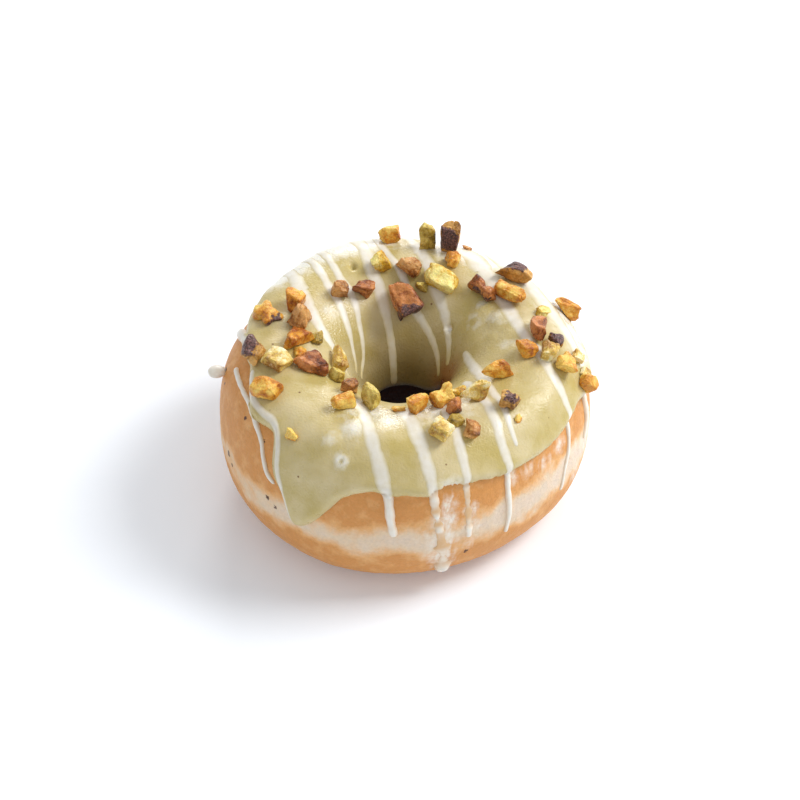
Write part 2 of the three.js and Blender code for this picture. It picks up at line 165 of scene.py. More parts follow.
paper, paper_tree, paper_places = new_material("white_paper_sheet")
paper_grain = node(paper_tree, "TexNoise", {"Vector": paper_places, "Scale": per_size(40)})
paper_tone = node(paper_tree, "MapRange", {"Value": paper_grain.outputs["Fac"], 3: 0.97, 4: 0.99})
paper_white = node(
    paper_tree,
    "Mix",
    {0: 1.0, 6: paper_tone.outputs[0], 7: colour("#f2f6fb")},
    data_type="RGBA",
    blend_type="MULTIPLY",
)
paper_shader = node(
    paper_tree,
    "BsdfPrincipled",
    {
        "Base Color": paper_white.outputs[2],
        "Roughness": 0.9,
        # The floor glows: painted light that lifts its shade and cools the crust's warm light.
        "Emission Color": colour("#dcebff"),
        "Emission Strength": 0.12,
    },
)
node(paper_tree, "OutputMaterial", {"Surface": paper_shader.outputs[0]})

half_floor = FLOOR_SIZE / 2
floor_corners = [(-1, -1, 0), (1, -1, 0), (1, 1, 0), (-1, 1, 0)]
floor_mesh = bpy.data.meshes.new("floor")
floor_mesh.from_pydata([tuple(half_floor * x for x in c) for c in floor_corners], [], [(0, 1, 2, 3)])
floor_mesh.materials.append(paper)
floor = bpy.data.objects.new("floor", floor_mesh)
bpy.context.scene.collection.objects.link(floor)
print("lamps:", ", ".join(LAMPS))

# %% [markdown]
# ## Where things are on the ring
#
# Everything here lies on a ring of dough, so a place is two angles: the ring angle goes round the
# hole, and the tube angle goes round the section, 0 at the outer equator, 90 on the crest, 180 in
# the hole and -90 at the foot. One function turns them into points. Noise then roughens those
# points, so that dough, glaze, icing and nuts all follow the same swells.

# %% The surface of the dough
OUTER_RADIUS = 44.3 * MM
CREST_RADIUS = 28.8 * MM
HOLE_RADIUS = 9 * MM
FRONT_HEIGHT = 41.6 * MM
BACK_RISE = 2.6 * MM
EQUATOR_HEIGHT = 19.2 * MM
FOOT_FLAT = 0.8 * MM
SHOULDER_LEAN = 3 * MM
SQUARENESS = 2.3
# Where the ring was squeezed as it proved: ring angle, spread in degrees, depth in mm.
DENTS = [(146, 21, 3.6), (18, 20, 1.2)]


def lattice(seed):
    """Random values between -1 and 1 at the corners of a cube lattice that repeats."""
    return np.random.default_rng(seed).uniform(-1, 1, (64, 64, 64))


LATTICES = [lattice(seed) for seed in range(6)]


def noise(points, size, seed=0):
    """Soft random swells about one size across: the lattice values at the eight corners round
    each point, each weighted by a smooth step of how near the point is to it."""
    scaled = np.asarray(points) / size + 101.3
    cell = np.floor(scaled).astype(int)
    part = scaled - cell
    part = part * part * (3 - 2 * part)
    total = 0
    for corner in np.ndindex(2, 2, 2):
        weight = np.where(corner, part, 1 - part).prod(axis=-1)
        x, y, z = np.moveaxis((cell + corner) % 64, -1, 0)
        total = total + weight * LATTICES[seed][x, y, z]
    return total


def smooth_step(value, low, high):
    """0 below low, 1 above high, and an S-shaped rise between."""
    part = np.clip((value - low) / (high - low), 0, 1)
    return part * part * (3 - 2 * part)


def on_dough(ring, tube, lift=0.0):
    """Points on the dough and their outward normals. The section is a squircle, whose coordinates
    are the cosine and sine to the power 2 / SQUARENESS. It leans at the shoulder, the ring bulges
    by a few cosines of the ring angle, less a bell curve for each place where it was squeezed as
    it proved, and lift moves each point out along its normal."""
    ring, tube, lift = np.broadcast_arrays(np.radians(ring), np.radians(tube), lift)
    c, s = np.cos(tube), np.sin(tube)
    height = FRONT_HEIGHT + BACK_RISE * (1 + np.sin(ring)) / 2
    reach = np.where(c > 0, OUTER_RADIUS - CREST_RADIUS, CREST_RADIUS - HOLE_RADIUS)
    rise = np.where(s > 0, height - EQUATOR_HEIGHT, EQUATOR_HEIGHT + FOOT_FLAT)
    out = CREST_RADIUS + reach * np.sign(c) * np.abs(c) ** (2 / SQUARENESS)
    out = out + SHOULDER_LEAN * s * (1 - c) / 2
    across = np.sign(c) * np.abs(c) ** (2 - 2 / SQUARENESS) / reach
    up = np.sign(s) * np.abs(s) ** (2 - 2 / SQUARENESS) / rise
    normal = np.stack([np.cos(ring) * across, np.sin(ring) * across, up], axis=-1)
    normal = normal / np.linalg.norm(normal, axis=-1, keepdims=True)
    bulge = np.cos(2 * ring) - 0.5 * np.cos(ring) + 0.8 * np.cos(3 * ring) + 0.4 * np.sin(3 * ring)
    for middle, spread, depth in DENTS:
        away = (np.degrees(ring) - middle + 180) % 360 - 180
        bulge = bulge - depth * np.exp(-((away / spread) ** 2))
    outwardness = np.clip((out - HOLE_RADIUS) / (OUTER_RADIUS - HOLE_RADIUS), 0, 1)
    out = out + outwardness * bulge * MM
    z = np.maximum(EQUATOR_HEIGHT + rise * np.sign(s) * np.abs(s) ** (2 / SQUARENESS), 0)
    point = np.stack([out * np.cos(ring), out * np.sin(ring), z], axis=-1)
    swell = 0.22 * MM * noise(point, 13 * MM) + 0.10 * MM * noise(point, 5 * MM, 1)
    point = point + normal * (swell + lift)[..., None]
    point[..., 2] = np.maximum(point[..., 2], 0)
    return point, normal


crest, _ = on_dough(np.array([90.0, 270.0]), 90.0)
print("crest height at back and front, mm:", np.round(crest[:, 2] / MM, 1))

# %% [markdown]
# ## Turning grids into pieces
#
# A worked-out surface is a grid of points, and Blender wants vertices and faces. Two kinds of grid
# are enough for the whole object: one that closes on itself both ways, as the dough and the glaze
# do, and one whose rows are loops that close to a point at both ends, as a drip or a nut does.

# %% Grid helpers
def ring_faces(rows, columns):
    """The four-cornered faces of a grid that joins its last row and column to its first."""
    row, column = np.meshgrid(np.arange(rows), np.arange(columns), indexing="ij")
    down, right = (row + 1) % rows, (column + 1) % columns
    corners = [(row, column), (down, column), (down, right), (row, right)]
    return np.stack([r * columns + c for r, c in corners], axis=-1).reshape(-1, 4).tolist()


def loaf_faces(rows, columns):
    """The faces of a stack of loops, closed at each end by a fan to one more point."""
    sides = ring_faces(rows, columns)[:(rows - 1) * columns]
    column = np.arange(columns)
    right = (column + 1) % columns
    first, last = rows * columns, rows * columns + 1
    start = np.stack([right * 0 + first, column, right], axis=-1)
    end = np.stack([right * 0 + last, right + first - columns, column + first - columns], axis=-1)
    return sides + start.tolist() + end.tolist()


def signed_volume(points, faces):
    """Six times the volume inside: each face's fan of triangles, as boxes from the origin."""
    total = 0.0
    for sides in (3, 4):
        loops = np.array([face for face in faces if len(face) == sides], int).reshape(-1, sides)
        for k in range(1, sides - 1):
            a, b, c = (points[loops[:, i]] for i in (0, k, k + 1))
            total += (a * np.cross(b, c)).sum()
    return total


def add_piece(name, points, faces, material, replaces=(), slot=None, **paint):
    """Makes a smooth mesh that faces outwards, paints its attributes, hangs it from the root body
    and hides the imported pieces that it replaces.
    """
    points = np.asarray(points).reshape(-1, 3)
    if signed_volume(points, faces) < 0:
        faces = [face[::-1] for face in faces]
    mesh = bpy.data.meshes.new(name)
    mesh.from_pydata(points.tolist(), [], faces)
    mesh.polygons.foreach_set("use_smooth", np.ones(len(faces), bool))
    for label, values in paint.items():
        layer = mesh.attributes.new(label, "FLOAT", "POINT")
        layer.data.foreach_set("value", np.ravel(values).astype(np.float32))
    mesh.materials.append(material)
    piece = bpy.data.objects.new(name, mesh)
    bpy.context.scene.collection.objects.link(piece)
    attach(piece, "root")
    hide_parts(*replaces)
    return piece


print("a loaf of 3 loops of 4 points has", len(loaf_faces(3, 4)), "faces")

# %% [markdown]
# ## Dough: where it browned
#
# A ring is fried on one side and then the other. Both sides go golden brown, and the line where
# it floated stays pale, because that part never touches the fat. The pale line could be a texture,
# but it follows the ring's own shape, so it is painted on the vertices from their height, and
# noise breaks up its edge. The same layer trick marks the burnt specks and the spilt sugar, and
# it paints shade, a near-black brown, on the lower wall of the hole.

# %% Paint for the dough
FLOAT_LINE = 20.0 * MM
FLOAT_LINE_RIGHT = 1.0 * MM
PALE_HALF = 3.3 * MM
PALE_HALF_RIGHT = 1.0 * MM
PALE_EDGE = 3.5 * MM
# Marks on the crust: ring angle, tube angle, millimetres across and, for sugar, how thick it lies.
SPECKS = [
    (201, 3, 2.4), (204, 0, 1.6), (225, 6, 2.2), (228, 3, 2.0), (181, 36, 2.0), (186, 33, 1.4),
    (207, 42, 1.6), (219, 42, 1.4), (290, -16, 1.8), (236, 2, 1.6), (60, 10, 1.8), (130, 2, 2.0),
]
SUGAR = [
    (284, 24, 6, 0.9), (283, 12, 7, 1.0), (282, 0, 8, 1.0), (282, -14, 8, 1.0), (283, -28, 6, 1.0),
    (291, 16, 5, 0.9), (291, 4, 6, 0.8), (290, -8, 6, 0.5), (276, 2, 6, 0.5), (308, 26, 5, 0.7),
    (314, 24, 5, 0.7), (321, 22, 5, 0.7), (329, 24, 5, 0.7), (336, 10, 6, 0.6), (345, 5, 8, 0.7),
    (352, 0, 8, 0.8), (338, -10, 6, 0.6), (100, 5, 9, 0.7), (140, 8, 8, 0.5), (60, 0, 8, 0.6),
]


def spots(points, places):
    """How near each point is to a list of (ring, tube, across in mm, strength) places: the
    strongest of the bell curves centred on them."""
    strongest = np.zeros(points.shape[:-1])
    for ring, tube, across, strength in places:
        centre, _ = on_dough(ring, tube)
        far = ((points - centre) ** 2).sum(axis=-1) / (across * MM / 2) ** 2
        strongest = np.maximum(strongest, strength * np.exp(-far))
    return strongest


def browning(points):
    """1 on the crust and 0 on the pale line: the distance in height from the line, which sits
    higher and wider on the right and fades at the left, with its edge broken up by noise."""
    right = points[..., 0] / OUTER_RADIUS
    far = np.abs(points[..., 2] - FLOAT_LINE - FLOAT_LINE_RIGHT * right)
    far = far + 2.6 * MM * noise(points, 8 * MM, 2) + 1.3 * MM * noise(points, 2.6 * MM, 3)
    half = PALE_HALF + PALE_HALF_RIGHT * right
    faded = 0.5 * smooth_step(-right, 0.55, 0.95) * (points[..., 1] < 12 * MM)
    return np.maximum(smooth_step(far, half - PALE_EDGE, half + PALE_EDGE), faded)


def scorched(points):
    """How much shade is painted on the inner wall of the hole: fully towards the foot, and not
    at all outside the hole."""
    radius = np.hypot(points[..., 0], points[..., 1])
    return smooth_step(-radius, -23 * MM, -14 * MM) * smooth_step(-points[..., 2], -34 * MM, -20 * MM)


def streaks(points):
    """Thin runs of sugar down the side: noise stretched five times in height, and wavy because
    its points are first pushed about by a slower noise."""
    wavy = points + 1.2 * MM * noise(points, 3 * MM, 2)[..., None]
    slanted = wavy[..., :2].sum(axis=-1, keepdims=True) * np.array([1, -0.6, 0.2])
    return noise(wavy * np.array([1, 1, 0.2]) + slanted, 1.3 * MM, 5)


sample, _ = on_dough(np.full(5, 270.0), np.array([-40.0, -15.0, 0.0, 20.0, 45.0]))
print("browning up the front:", np.round(browning(sample), 2))

# %% [markdown]
# ## Dough: the crust's finish
#
# Fried dough is matt with a slight oily shine, and light goes a little way into it, so a touch of
# subsurface keeps the pale line soft. The brown is never even: it is mottled at the size of the
# dough's bubbles, with pores too small to see one by one.

# %% Fried dough material
def fried_dough():
    """Fried yeast dough: the brown follows the painted layer, mottled by two sizes of noise."""
    material, tree, places = new_material("fried_yeast_dough")
    crust, sugar, speck, scorch = (
        node(tree, "Attribute", attribute_name=label).outputs["Fac"]
        for label in ("crust", "sugar", "speck", "scorch")
    )
    mottle, pores, flakes = (
        node(
            tree,
            "TexNoise",
            {"Vector": places, "Scale": per_size(size), "Detail": 5, "Roughness": 0.6},
        ).outputs["Fac"]
        for size in (3.2, 0.7, 1.3)
    )
    uneven = node(tree, "MapRange", {"Value": mottle, 1: 0.3, 2: 0.7, 3: -0.2, 4: 0.2})
    brown = node(tree, "Math", {0: crust, 1: uneven.outputs[0]}, operation="ADD")
    ramp = node(tree, "ValToRGB", {"Fac": brown.outputs[0]})
    stops = ramp.color_ramp.elements
    stops[0].color = colour("#e4cfb8")
    stops[1].color = colour("#d6944e")
    for position, code in ((0.25, "#e7cdad"), (0.5, "#e8be90"), (0.75, "#e5ad6e")):
        stops.new(position).color = colour(code)
    tone = node(tree, "MapRange", {"Value": pores, 1: 0.25, 2: 0.75, 3: 0.9, 4: 1.06})
    grained = node(
        tree,
        "Mix",
        {0: 1.0, 6: ramp.outputs["Color"], 7: tone.outputs[0]},
        data_type="RGBA",
        blend_type="MULTIPLY",
    )
    film = node(tree, "Math", {0: sugar, 1: flakes}, operation="MULTIPLY")
    film = node(tree, "MapRange", {"Value": film.outputs[0], 1: 0.1, 2: 0.5, 3: 0.0, 4: 0.9})
    # Painted shade: the lower wall of the hole is mixed towards a near-black brown.
    hole_shaded = node(
        tree,
        "Mix",
        {0: scorch, 6: grained.outputs[2], 7: colour("#3a1b0c")},
        data_type="RGBA",
    )
    sugared = node(
        tree,
        "Mix",
        {0: film.outputs[0], 6: hole_shaded.outputs[2], 7: colour("#f3ebde")},
        data_type="RGBA",
    )
    burnt = node(tree, "Math", {0: speck, 1: pores}, operation="MULTIPLY")
    burnt = node(tree, "MapRange", {"Value": burnt.outputs[0], 1: 0.27, 2: 0.36})
    finished = node(
        tree,
        "Mix",
        {0: burnt.outputs[0], 6: sugared.outputs[2], 7: colour("#573420")},
        data_type="RGBA",
    )
    shine = node(tree, "MapRange", {"Value": film.outputs[0], 3: 0.55, 4: 0.28})
    fine = node(tree, "Bump", {"Strength": 0.7, "Distance": 0.22 * MM, "Height": pores})
    relief = node(
        tree,
        "Bump",
        {"Strength": 0.5, "Distance": 0.9 * MM, "Height": mottle, "Normal": fine.outputs[0]},
    )
    shader = node(
        tree,
        "BsdfPrincipled",
        {
            "Base Color": finished.outputs[2],
            "Roughness": shine.outputs[0],
            "Normal": relief.outputs[0],
            "IOR": 1.45,
            "Subsurface Weight": 0.12,
            "Subsurface Radius": (1.0, 0.5, 0.25),
            "Subsurface Scale": 1.5 * MM,
        },
    )
    node(tree, "OutputMaterial", {"Surface": shader.outputs[0]})
    return material


DOUGH = fried_dough()
print("dough nodes:", len(DOUGH.node_tree.nodes))

# %% [markdown]
# ## Dough: the ring
#
# The ring could be a torus pushed about by a sculptor, but its section is the same squircle all
# the way round, so a grid of ring angles by tube angles gives it directly. The grid is fine enough
# to carry the painted layers without steps.

# %% Dough ring
DOUGH_GRID = (600, 160)

ring_grid, tube_grid = np.meshgrid(
    np.arange(DOUGH_GRID[0]) * 360 / DOUGH_GRID[0],
    np.arange(DOUGH_GRID[1]) * 360 / DOUGH_GRID[1],
    indexing="ij",
)
dough_points, dough_normals = on_dough(ring_grid, tube_grid)
pitting = 0.07 * MM * noise(dough_points, 1.6 * MM, 4) * (dough_points[..., 2] > 0.4 * MM)
dough_points = dough_points + dough_normals * pitting[..., None]
add_piece(
    "fried_dough_ring",
    dough_points,
    ring_faces(*DOUGH_GRID),
    DOUGH,
    replaces=["dough_ring"],
    slot="dough",
    crust=browning(dough_points),
    sugar=np.clip(spots(dough_points, SUGAR) * (0.85 + 0.75 * streaks(dough_points)), 0, 1),
    speck=spots(dough_points, [(*speck, 1.0) for speck in SPECKS]),
    # Painted shade on the lower wall of the hole.
    scorch=scorched(dough_points),
)
print("dough points:", dough_points[..., 0].size)

# %% [markdown]
# ## Glaze: how far it ran
#
# The doughnut is dipped to a little above its pale line and turned over, and the glaze then runs
# down until it sets. Its lower edge is therefore a wandering line, with one bare notch at the
# front left and one fat drip beside it. The line goes through a few places and is rounded off by
# averaging its neighbours, as surface tension would.

# %% The edges of the glaze
# Ring angle and tube angle of places on the lower edge, and then on the edge down the hole.
GLAZE_EDGE = [
    (8, 32), (22, 36), (35, 27), (48, 35), (60, 38), (72, 26), (84, 37), (98, 33), (112, 39),
    (124, 28), (138, 42), (152, 51), (170, 61), (174, 63), (183, 64), (192, 68), (202, 59.5),
    (206, 54), (209, 48), (214, 50.5), (218.5, 53), (221.5, 54), (224, 46), (225, 38),
    (226, 30), (228, 24), (230.5, 20), (232.5, 12), (234, 5), (236, 1), (238.5, 0.5), (242, 5.5),
    (244.5, 12), (247.5, 19.5), (250.5, 29), (254.5, 34), (260, 38), (267, 35), (273, 34),
    (277, 32), (281, 37), (286, 38), (294, 35), (298, 34), (304, 32), (310.5, 32), (316.5, 32),
    (321.5, 32), (330.5, 33), (336.5, 36), (343.5, 37), (349.5, 32), (355.5, 28),
]
GLAZE_HOLE_EDGE = [
    (10, 165), (25, 175), (50, 179), (175, 179), (205, 168), (240, 154), (300, 150), (340, 150),
]


def rounded_outline(places, softness):
    """A closed line through (ring, tube) places as a function of the ring angle: straight from
    place to place, then averaged with its neighbours under a bell curve that many degrees wide."""
    fine = np.arange(0, 360, 0.25)
    rings, tubes = np.array(places, float).T
    straight = np.interp(fine, rings, tubes, period=360)
    away = np.minimum(fine, 360 - fine)
    bell = np.exp(-0.5 * (away / softness) ** 2)
    even = np.fft.irfft(np.fft.rfft(straight) * np.fft.rfft(bell / bell.sum()), len(fine))
    return lambda ring: np.interp(ring, fine, even, period=360)


even_glaze_edge = rounded_outline(GLAZE_EDGE, 0.9)
glaze_hole_edge = rounded_outline(GLAZE_HOLE_EDGE, 6)


def glaze_edge(ring):
    """The outer edge with its fine raggedness: noise along the ring, strongest at the front right,
    where the sugar dried in crystals."""
    along = np.stack([np.cos(np.radians(ring)), np.sin(np.radians(ring)), 0 * ring], axis=-1)
    dry = np.exp(-(((ring - 288) / 14) ** 2)) + 0.25
    ragged = 1.6 * noise(along, 0.03, 3) + 1.0 * noise(along, 0.012, 4)
    return even_glaze_edge(ring) + dry * ragged


def edge_distance(ring, tube, edge):
    """Distance from places to one edge of the glaze: the least straight distance to the points
    of the edge at ring angles up to 5 degrees either side."""
    place, _ = on_dough(ring, tube)
    nearest = np.full(place.shape[:-1], np.inf)
    for offset in np.linspace(-5, 5, 41):
        rim, _ = on_dough(ring + offset, edge(ring + offset))
        nearest = np.minimum(nearest, np.linalg.norm(place - rim, axis=-1))
    return nearest


print("lowest the glaze ran, degrees:", round(float(glaze_edge(np.arange(360)).min()), 1))

# %% [markdown]
# ## Glaze: how thick it lies
#
# A sugar glaze is a skin a little over a millimetre thick. It ends in a round bead, fatter where
# it hung in a drip, and it shows whatever happened under it: lumps over bubbles in the dough,
# pits where air escaped, and two milky blisters. All of that is one function of the place, so
# that the icing and the nuts can be laid on top of it.

# %% The top of the glaze
GLAZE_THICKNESS = 1.6 * MM
GLAZE_BEAD = 2.2 * MM
# Lumps and pits: ring angle, tube angle, millimetres across, and height or depth in mm.
LUMPS = [
    (249, 87, 6, 1.0), (242.5, 72, 5.5, 0.8), (16.5, 106, 6, 1.3), (26, 112, 7, 1.0),
    (249, 57.5, 2.8, 0.4), (243, 97, 5, 0.6), (262, 84, 7, 0.4), (5, 101, 7, 0.8), (350, 96, 7, 0.5),
    (4.7, 111.2, 5, 0.4), (238, 8, 8, 0.7), (150, 53, 7, 0.4), (205, 66, 7, 0.4), (24.5, 121, 3, 0.4),
]
PITS = [
    (117, 97.1, 1.5, 1.6), (40.9, 135.6, 1.5, 1.6), (249, 57.5, 1.1, 0.5), (125.4, 137.5, 6, 0.8),
]


def glaze_top(ring, tube):
    """How far the top of the glaze stands off the dough: its thickness times a quarter circle
    across the bead, plus lumps and pits as bell curves. It is 0 where the dough is bare."""
    ring, tube = np.broadcast_arrays(np.asarray(ring, float), np.asarray(tube, float))
    place, _ = on_dough(ring, tube)
    outer = edge_distance(ring, tube, glaze_edge)
    inner = edge_distance(ring, tube, glaze_hole_edge)
    far = np.minimum(outer, inner)
    short = 1 - np.clip(far / GLAZE_BEAD, 0, 1)
    fat = 1 + 0.22 * np.exp(-((outer / (1.8 * MM) - 1) ** 2)) * (tube < 90)
    lumps = spots(place, LUMPS) * MM
    pits = spots(place, PITS) * MM
    ripple = 0.14 * MM * noise(place, 6 * MM, 4) + 0.06 * MM * noise(place, 2.2 * MM, 5)
    thick = GLAZE_THICKNESS * np.sqrt(1 - short * short) * fat
    covered = (tube > glaze_edge(ring)) & (tube < glaze_hole_edge(ring))
    return np.where(covered, thick + (lumps - pits + ripple) * (1 - short), 0)


print("thickness on the crest, mm:", np.round(glaze_top([270.0, 0.0], 90.0) / MM, 2))

# %% [markdown]
# ## Glaze: its finish
#
# Pistachio glaze is icing sugar beaten with nut paste: a soft yellow green, satin rather than
# glassy, and cloudy, so light scatters inside it. Ground nut leaves tiny specks, and the sugar
# dries to a fine grain that breaks up the highlights. The icing uses the same colour where it is
# thin enough to see through, so the colour is worked out in a function of its own.

# %% Pistachio glaze material
def glaze_colour(tree, places):
    """Two greens mixed in slow clouds, with sparse brown specks of ground nut."""
    cloud = node(tree, "TexNoise", {"Vector": places, "Scale": per_size(9), "Detail": 3})
    clouds = node(tree, "MapRange", {"Value": cloud.outputs["Fac"], 1: 0.35, 2: 0.65})
    green = node(
        tree,
        "Mix",
        {0: clouds.outputs[0], 6: colour("#bfac69"), 7: colour("#d4c496")},
        data_type="RGBA",
    )
    grit = node(tree, "TexVoronoi", {"Vector": places, "Scale": per_size(3.4)})
    small = node(tree, "MapRange", {"Value": grit.outputs["Distance"], 1: 0.10, 2: 0.05})
    chosen = node(tree, "SeparateColor", {"Color": grit.outputs["Color"]})
    rare = node(tree, "Math", {0: chosen.outputs[0], 1: 0.82}, operation="GREATER_THAN")
    shown = node(tree, "Math", {0: small.outputs[0], 1: rare.outputs[0]}, operation="MULTIPLY")
    return node(
        tree,
        "Mix",
        {0: shown.outputs[0], 6: green.outputs[2], 7: colour("#7d5a33")},
        data_type="RGBA",
    ).outputs[2]


def pistachio_glaze():
    """Satin sugar glaze: cloudy green, browner where it is thin over the crust, painted darker
    olive brown down the hole as shade, milky where icing spilt, and glossier where it stayed wet,
    with a fine sugar grain."""
    material, tree, places = new_material("pistachio_sugar_glaze")
    milk, deep, wet, thin = (
        node(tree, "Attribute", attribute_name=label).outputs["Fac"]
        for label in ("milk", "deep", "wet", "thin")
    )
    # Painted shade: the glaze darkens to olive brown down the hole.
    shaded = node(
        tree,
        "Mix",
        {0: deep, 6: glaze_colour(tree, places), 7: colour("#7a6432")},
        data_type="RGBA",
    )
    body = node(
        tree, "Mix", {0: thin, 6: shaded.outputs[2], 7: colour("#95602f")}, data_type="RGBA"
    )
    grain = node(
        tree, "TexNoise", {"Vector": places, "Scale": per_size(0.55), "Detail": 3}
    ).outputs["Fac"]
    blot = node(tree, "TexNoise", {"Vector": places, "Scale": per_size(1.8), "Detail": 3})
    patchy = node(
        tree, "MapRange", {"Value": blot.outputs["Fac"], 1: 0.3, 2: 0.7, 3: -0.13, 4: 0.13}
    )
    milky = node(tree, "Math", {0: milk, 1: patchy.outputs[0]}, operation="ADD")
    milky = node(tree, "MapRange", {"Value": milky.outputs[0], 1: 0.14, 2: 0.62, 3: 0.0, 4: 0.9})
    tinted = node(
        tree,
        "Mix",
        {0: milky.outputs[0], 6: body.outputs[2], 7: colour("#efece0")},
        data_type="RGBA",
    )
    sheen = node(tree, "MapRange", {"Value": blot.outputs["Fac"], 1: 0.3, 2: 0.7, 3: 0.24, 4: 0.4})
    sheen = node(tree, "MapRange", {"Value": wet, 3: sheen.outputs[0], 4: 0.1})
    depth = node(tree, "MapRange", {"Value": wet, 3: 0.45, 4: 1.0})
    relief = node(
        tree,
        "Bump",
        {"Strength": depth.outputs[0], "Distance": 0.26 * MM, "Height": grain},
    )
    shader = node(
        tree,
        "BsdfPrincipled",
        {
            "Base Color": tinted.outputs[2],
            "Roughness": sheen.outputs[0],
            "Normal": relief.outputs[0],
            "IOR": 1.48,
            "Subsurface Weight": 0.2,
            "Subsurface Radius": (1.0, 0.8, 0.4),
            "Subsurface Scale": 1.5 * MM,
        },
    )
    node(tree, "OutputMaterial", {"Surface": shader.outputs[0]})
    return material


GLAZE = pistachio_glaze()
print("glaze nodes:", len(GLAZE.node_tree.nodes))

# %% [markdown]
# ## Glaze: the skin
#
# The skin could be the dough's surface thickened with a modifier, but its thickness changes from
# place to place, so its whole section is carried round instead: out over the top from edge to
# edge, then back just under the dough's surface, which closes it. Four layers are painted on it,
# for the milky, wet and thin spots and for the shade down the hole.

# %% Glaze skin
GLAZE_ROWS = 640
GLAZE_OUTSIDE = 120
GLAZE_INSIDE = 24
# The tube angle from which glaze and icing darken down the hole: painted shade on the glaze, and
# on the icing partly painted shade and partly thinner white.
HOLE_MOUTH = 118
# Painted spots: ring angle, tube angle, millimetres across and strength. Icing melted into the
# milky ones, blisters stand out of them, the crust shows through the thin ones, and sugar that
# stayed wet shines.
MILKY = [
    (249, 57.5, 3.0, 1.0), (249, 85.5, 5.4, 0.6), (243, 97.5, 6, 0.4), (242.5, 72, 5, 0.3),
    (285, 38, 6, 0.5), (262, 96, 7, 0.5), (255, 103, 7, 0.5), (274, 100, 8, 0.6), (288, 101, 8, 0.6),
    (300, 95, 7, 0.4), (16.5, 107, 6, 0.36), (24.5, 120, 4.5, 0.4), (31.5, 110, 3, 0.5),
    (149, 56, 6, 0.5), (143, 59, 8, 0.8), (137.5, 63, 8, 0.9), (131, 66, 8.5, 1.0),
    (124.5, 69, 8.5, 1.0), (117.5, 71, 9, 1.0), (111, 73, 9, 1.0), (104, 75, 8, 0.8),
    (96, 75, 8, 0.5), (74, 68, 9, 0.8), (68, 73, 10, 1.0), (60, 74, 10, 1.0), (52, 76, 9, 0.9),
    (40, 66, 9, 0.8), (30, 62, 10, 0.9), (20, 59, 10, 1.0), (10, 54, 9, 0.9), (2, 48, 8, 0.8),
    (190, 112, 6, 0.3), (355, 105, 5, 0.3), (150, 112, 5, 0.35), (128, 118, 5, 0.3),
]
BLISTERS = [(249, 57.5, 1.3, 1.0), (24.5, 121, 1.6, 0.6)]
THIN = [(358, 152, 9, 0.85), (10, 156, 8, 0.85), (345, 150, 6, 0.6), (22, 166, 7, 0.6)]
WET = [
    (242, 98, 7, 1.0), (250, 100, 7, 1.0), (258, 99, 7, 1.0), (266, 98, 6, 0.8), (275, 99, 6, 0.7),
    (288, 102, 6, 0.7), (17, 107, 5, 1.0), (27, 109, 5, 1.0), (5, 102, 5, 0.7), (328, 112, 6, 0.5),
    (150, 105, 8, 0.6), (140, 118, 8, 0.5), (165, 122, 8, 0.4), (345, 95, 8, 0.4),
]


def closer_at_ends(count):
    """Steps from 0 to 1 that are closer together at both ends, by part of a half cosine."""
    even = np.linspace(0, 1, count)
    return 0.35 * even + 0.65 * (1 - np.cos(np.pi * even)) / 2


steps = np.concatenate([closer_at_ends(GLAZE_OUTSIDE), closer_at_ends(GLAZE_INSIDE)[-2:0:-1]])
on_top = np.arange(len(steps)) < GLAZE_OUTSIDE
ring_grid = np.repeat(np.arange(GLAZE_ROWS)[:, None] * 360 / GLAZE_ROWS, len(steps), axis=1)
low_edge = glaze_edge(ring_grid)
tube_grid = low_edge + (glaze_hole_edge(ring_grid) - low_edge) * steps
glaze_lift = np.where(on_top, glaze_top(ring_grid, tube_grid), -0.25 * MM)
glaze_points, _ = on_dough(ring_grid, tube_grid, glaze_lift)
glaze_places, _ = on_dough(ring_grid, tube_grid)
add_piece(
    "glaze_skin",
    glaze_points,
    ring_faces(GLAZE_ROWS, len(steps)),
    GLAZE,
    replaces=["pistachio_glaze"],
    slot="glaze",
    milk=np.clip(spots(glaze_places, MILKY) - spots(glaze_places, BLISTERS), 0, 1),
    wet=spots(glaze_places, WET),
    thin=spots(glaze_places, THIN),
    # Painted shade down the hole.
    deep=smooth_step(tube_grid, HOLE_MOUTH, 176) * 0.8,
)
print("glaze points:", glaze_points[..., 0].size)

# %% [markdown]
# ## Icing: its finish
#
# The white icing is sugar and water. Poured thick, it sets opaque and slightly glossy. Where it
# sank into the wet glaze, its edges turned see-through. Real transparency would be slow and noisy,
# so a painted layer says how much white covers the colour underneath.

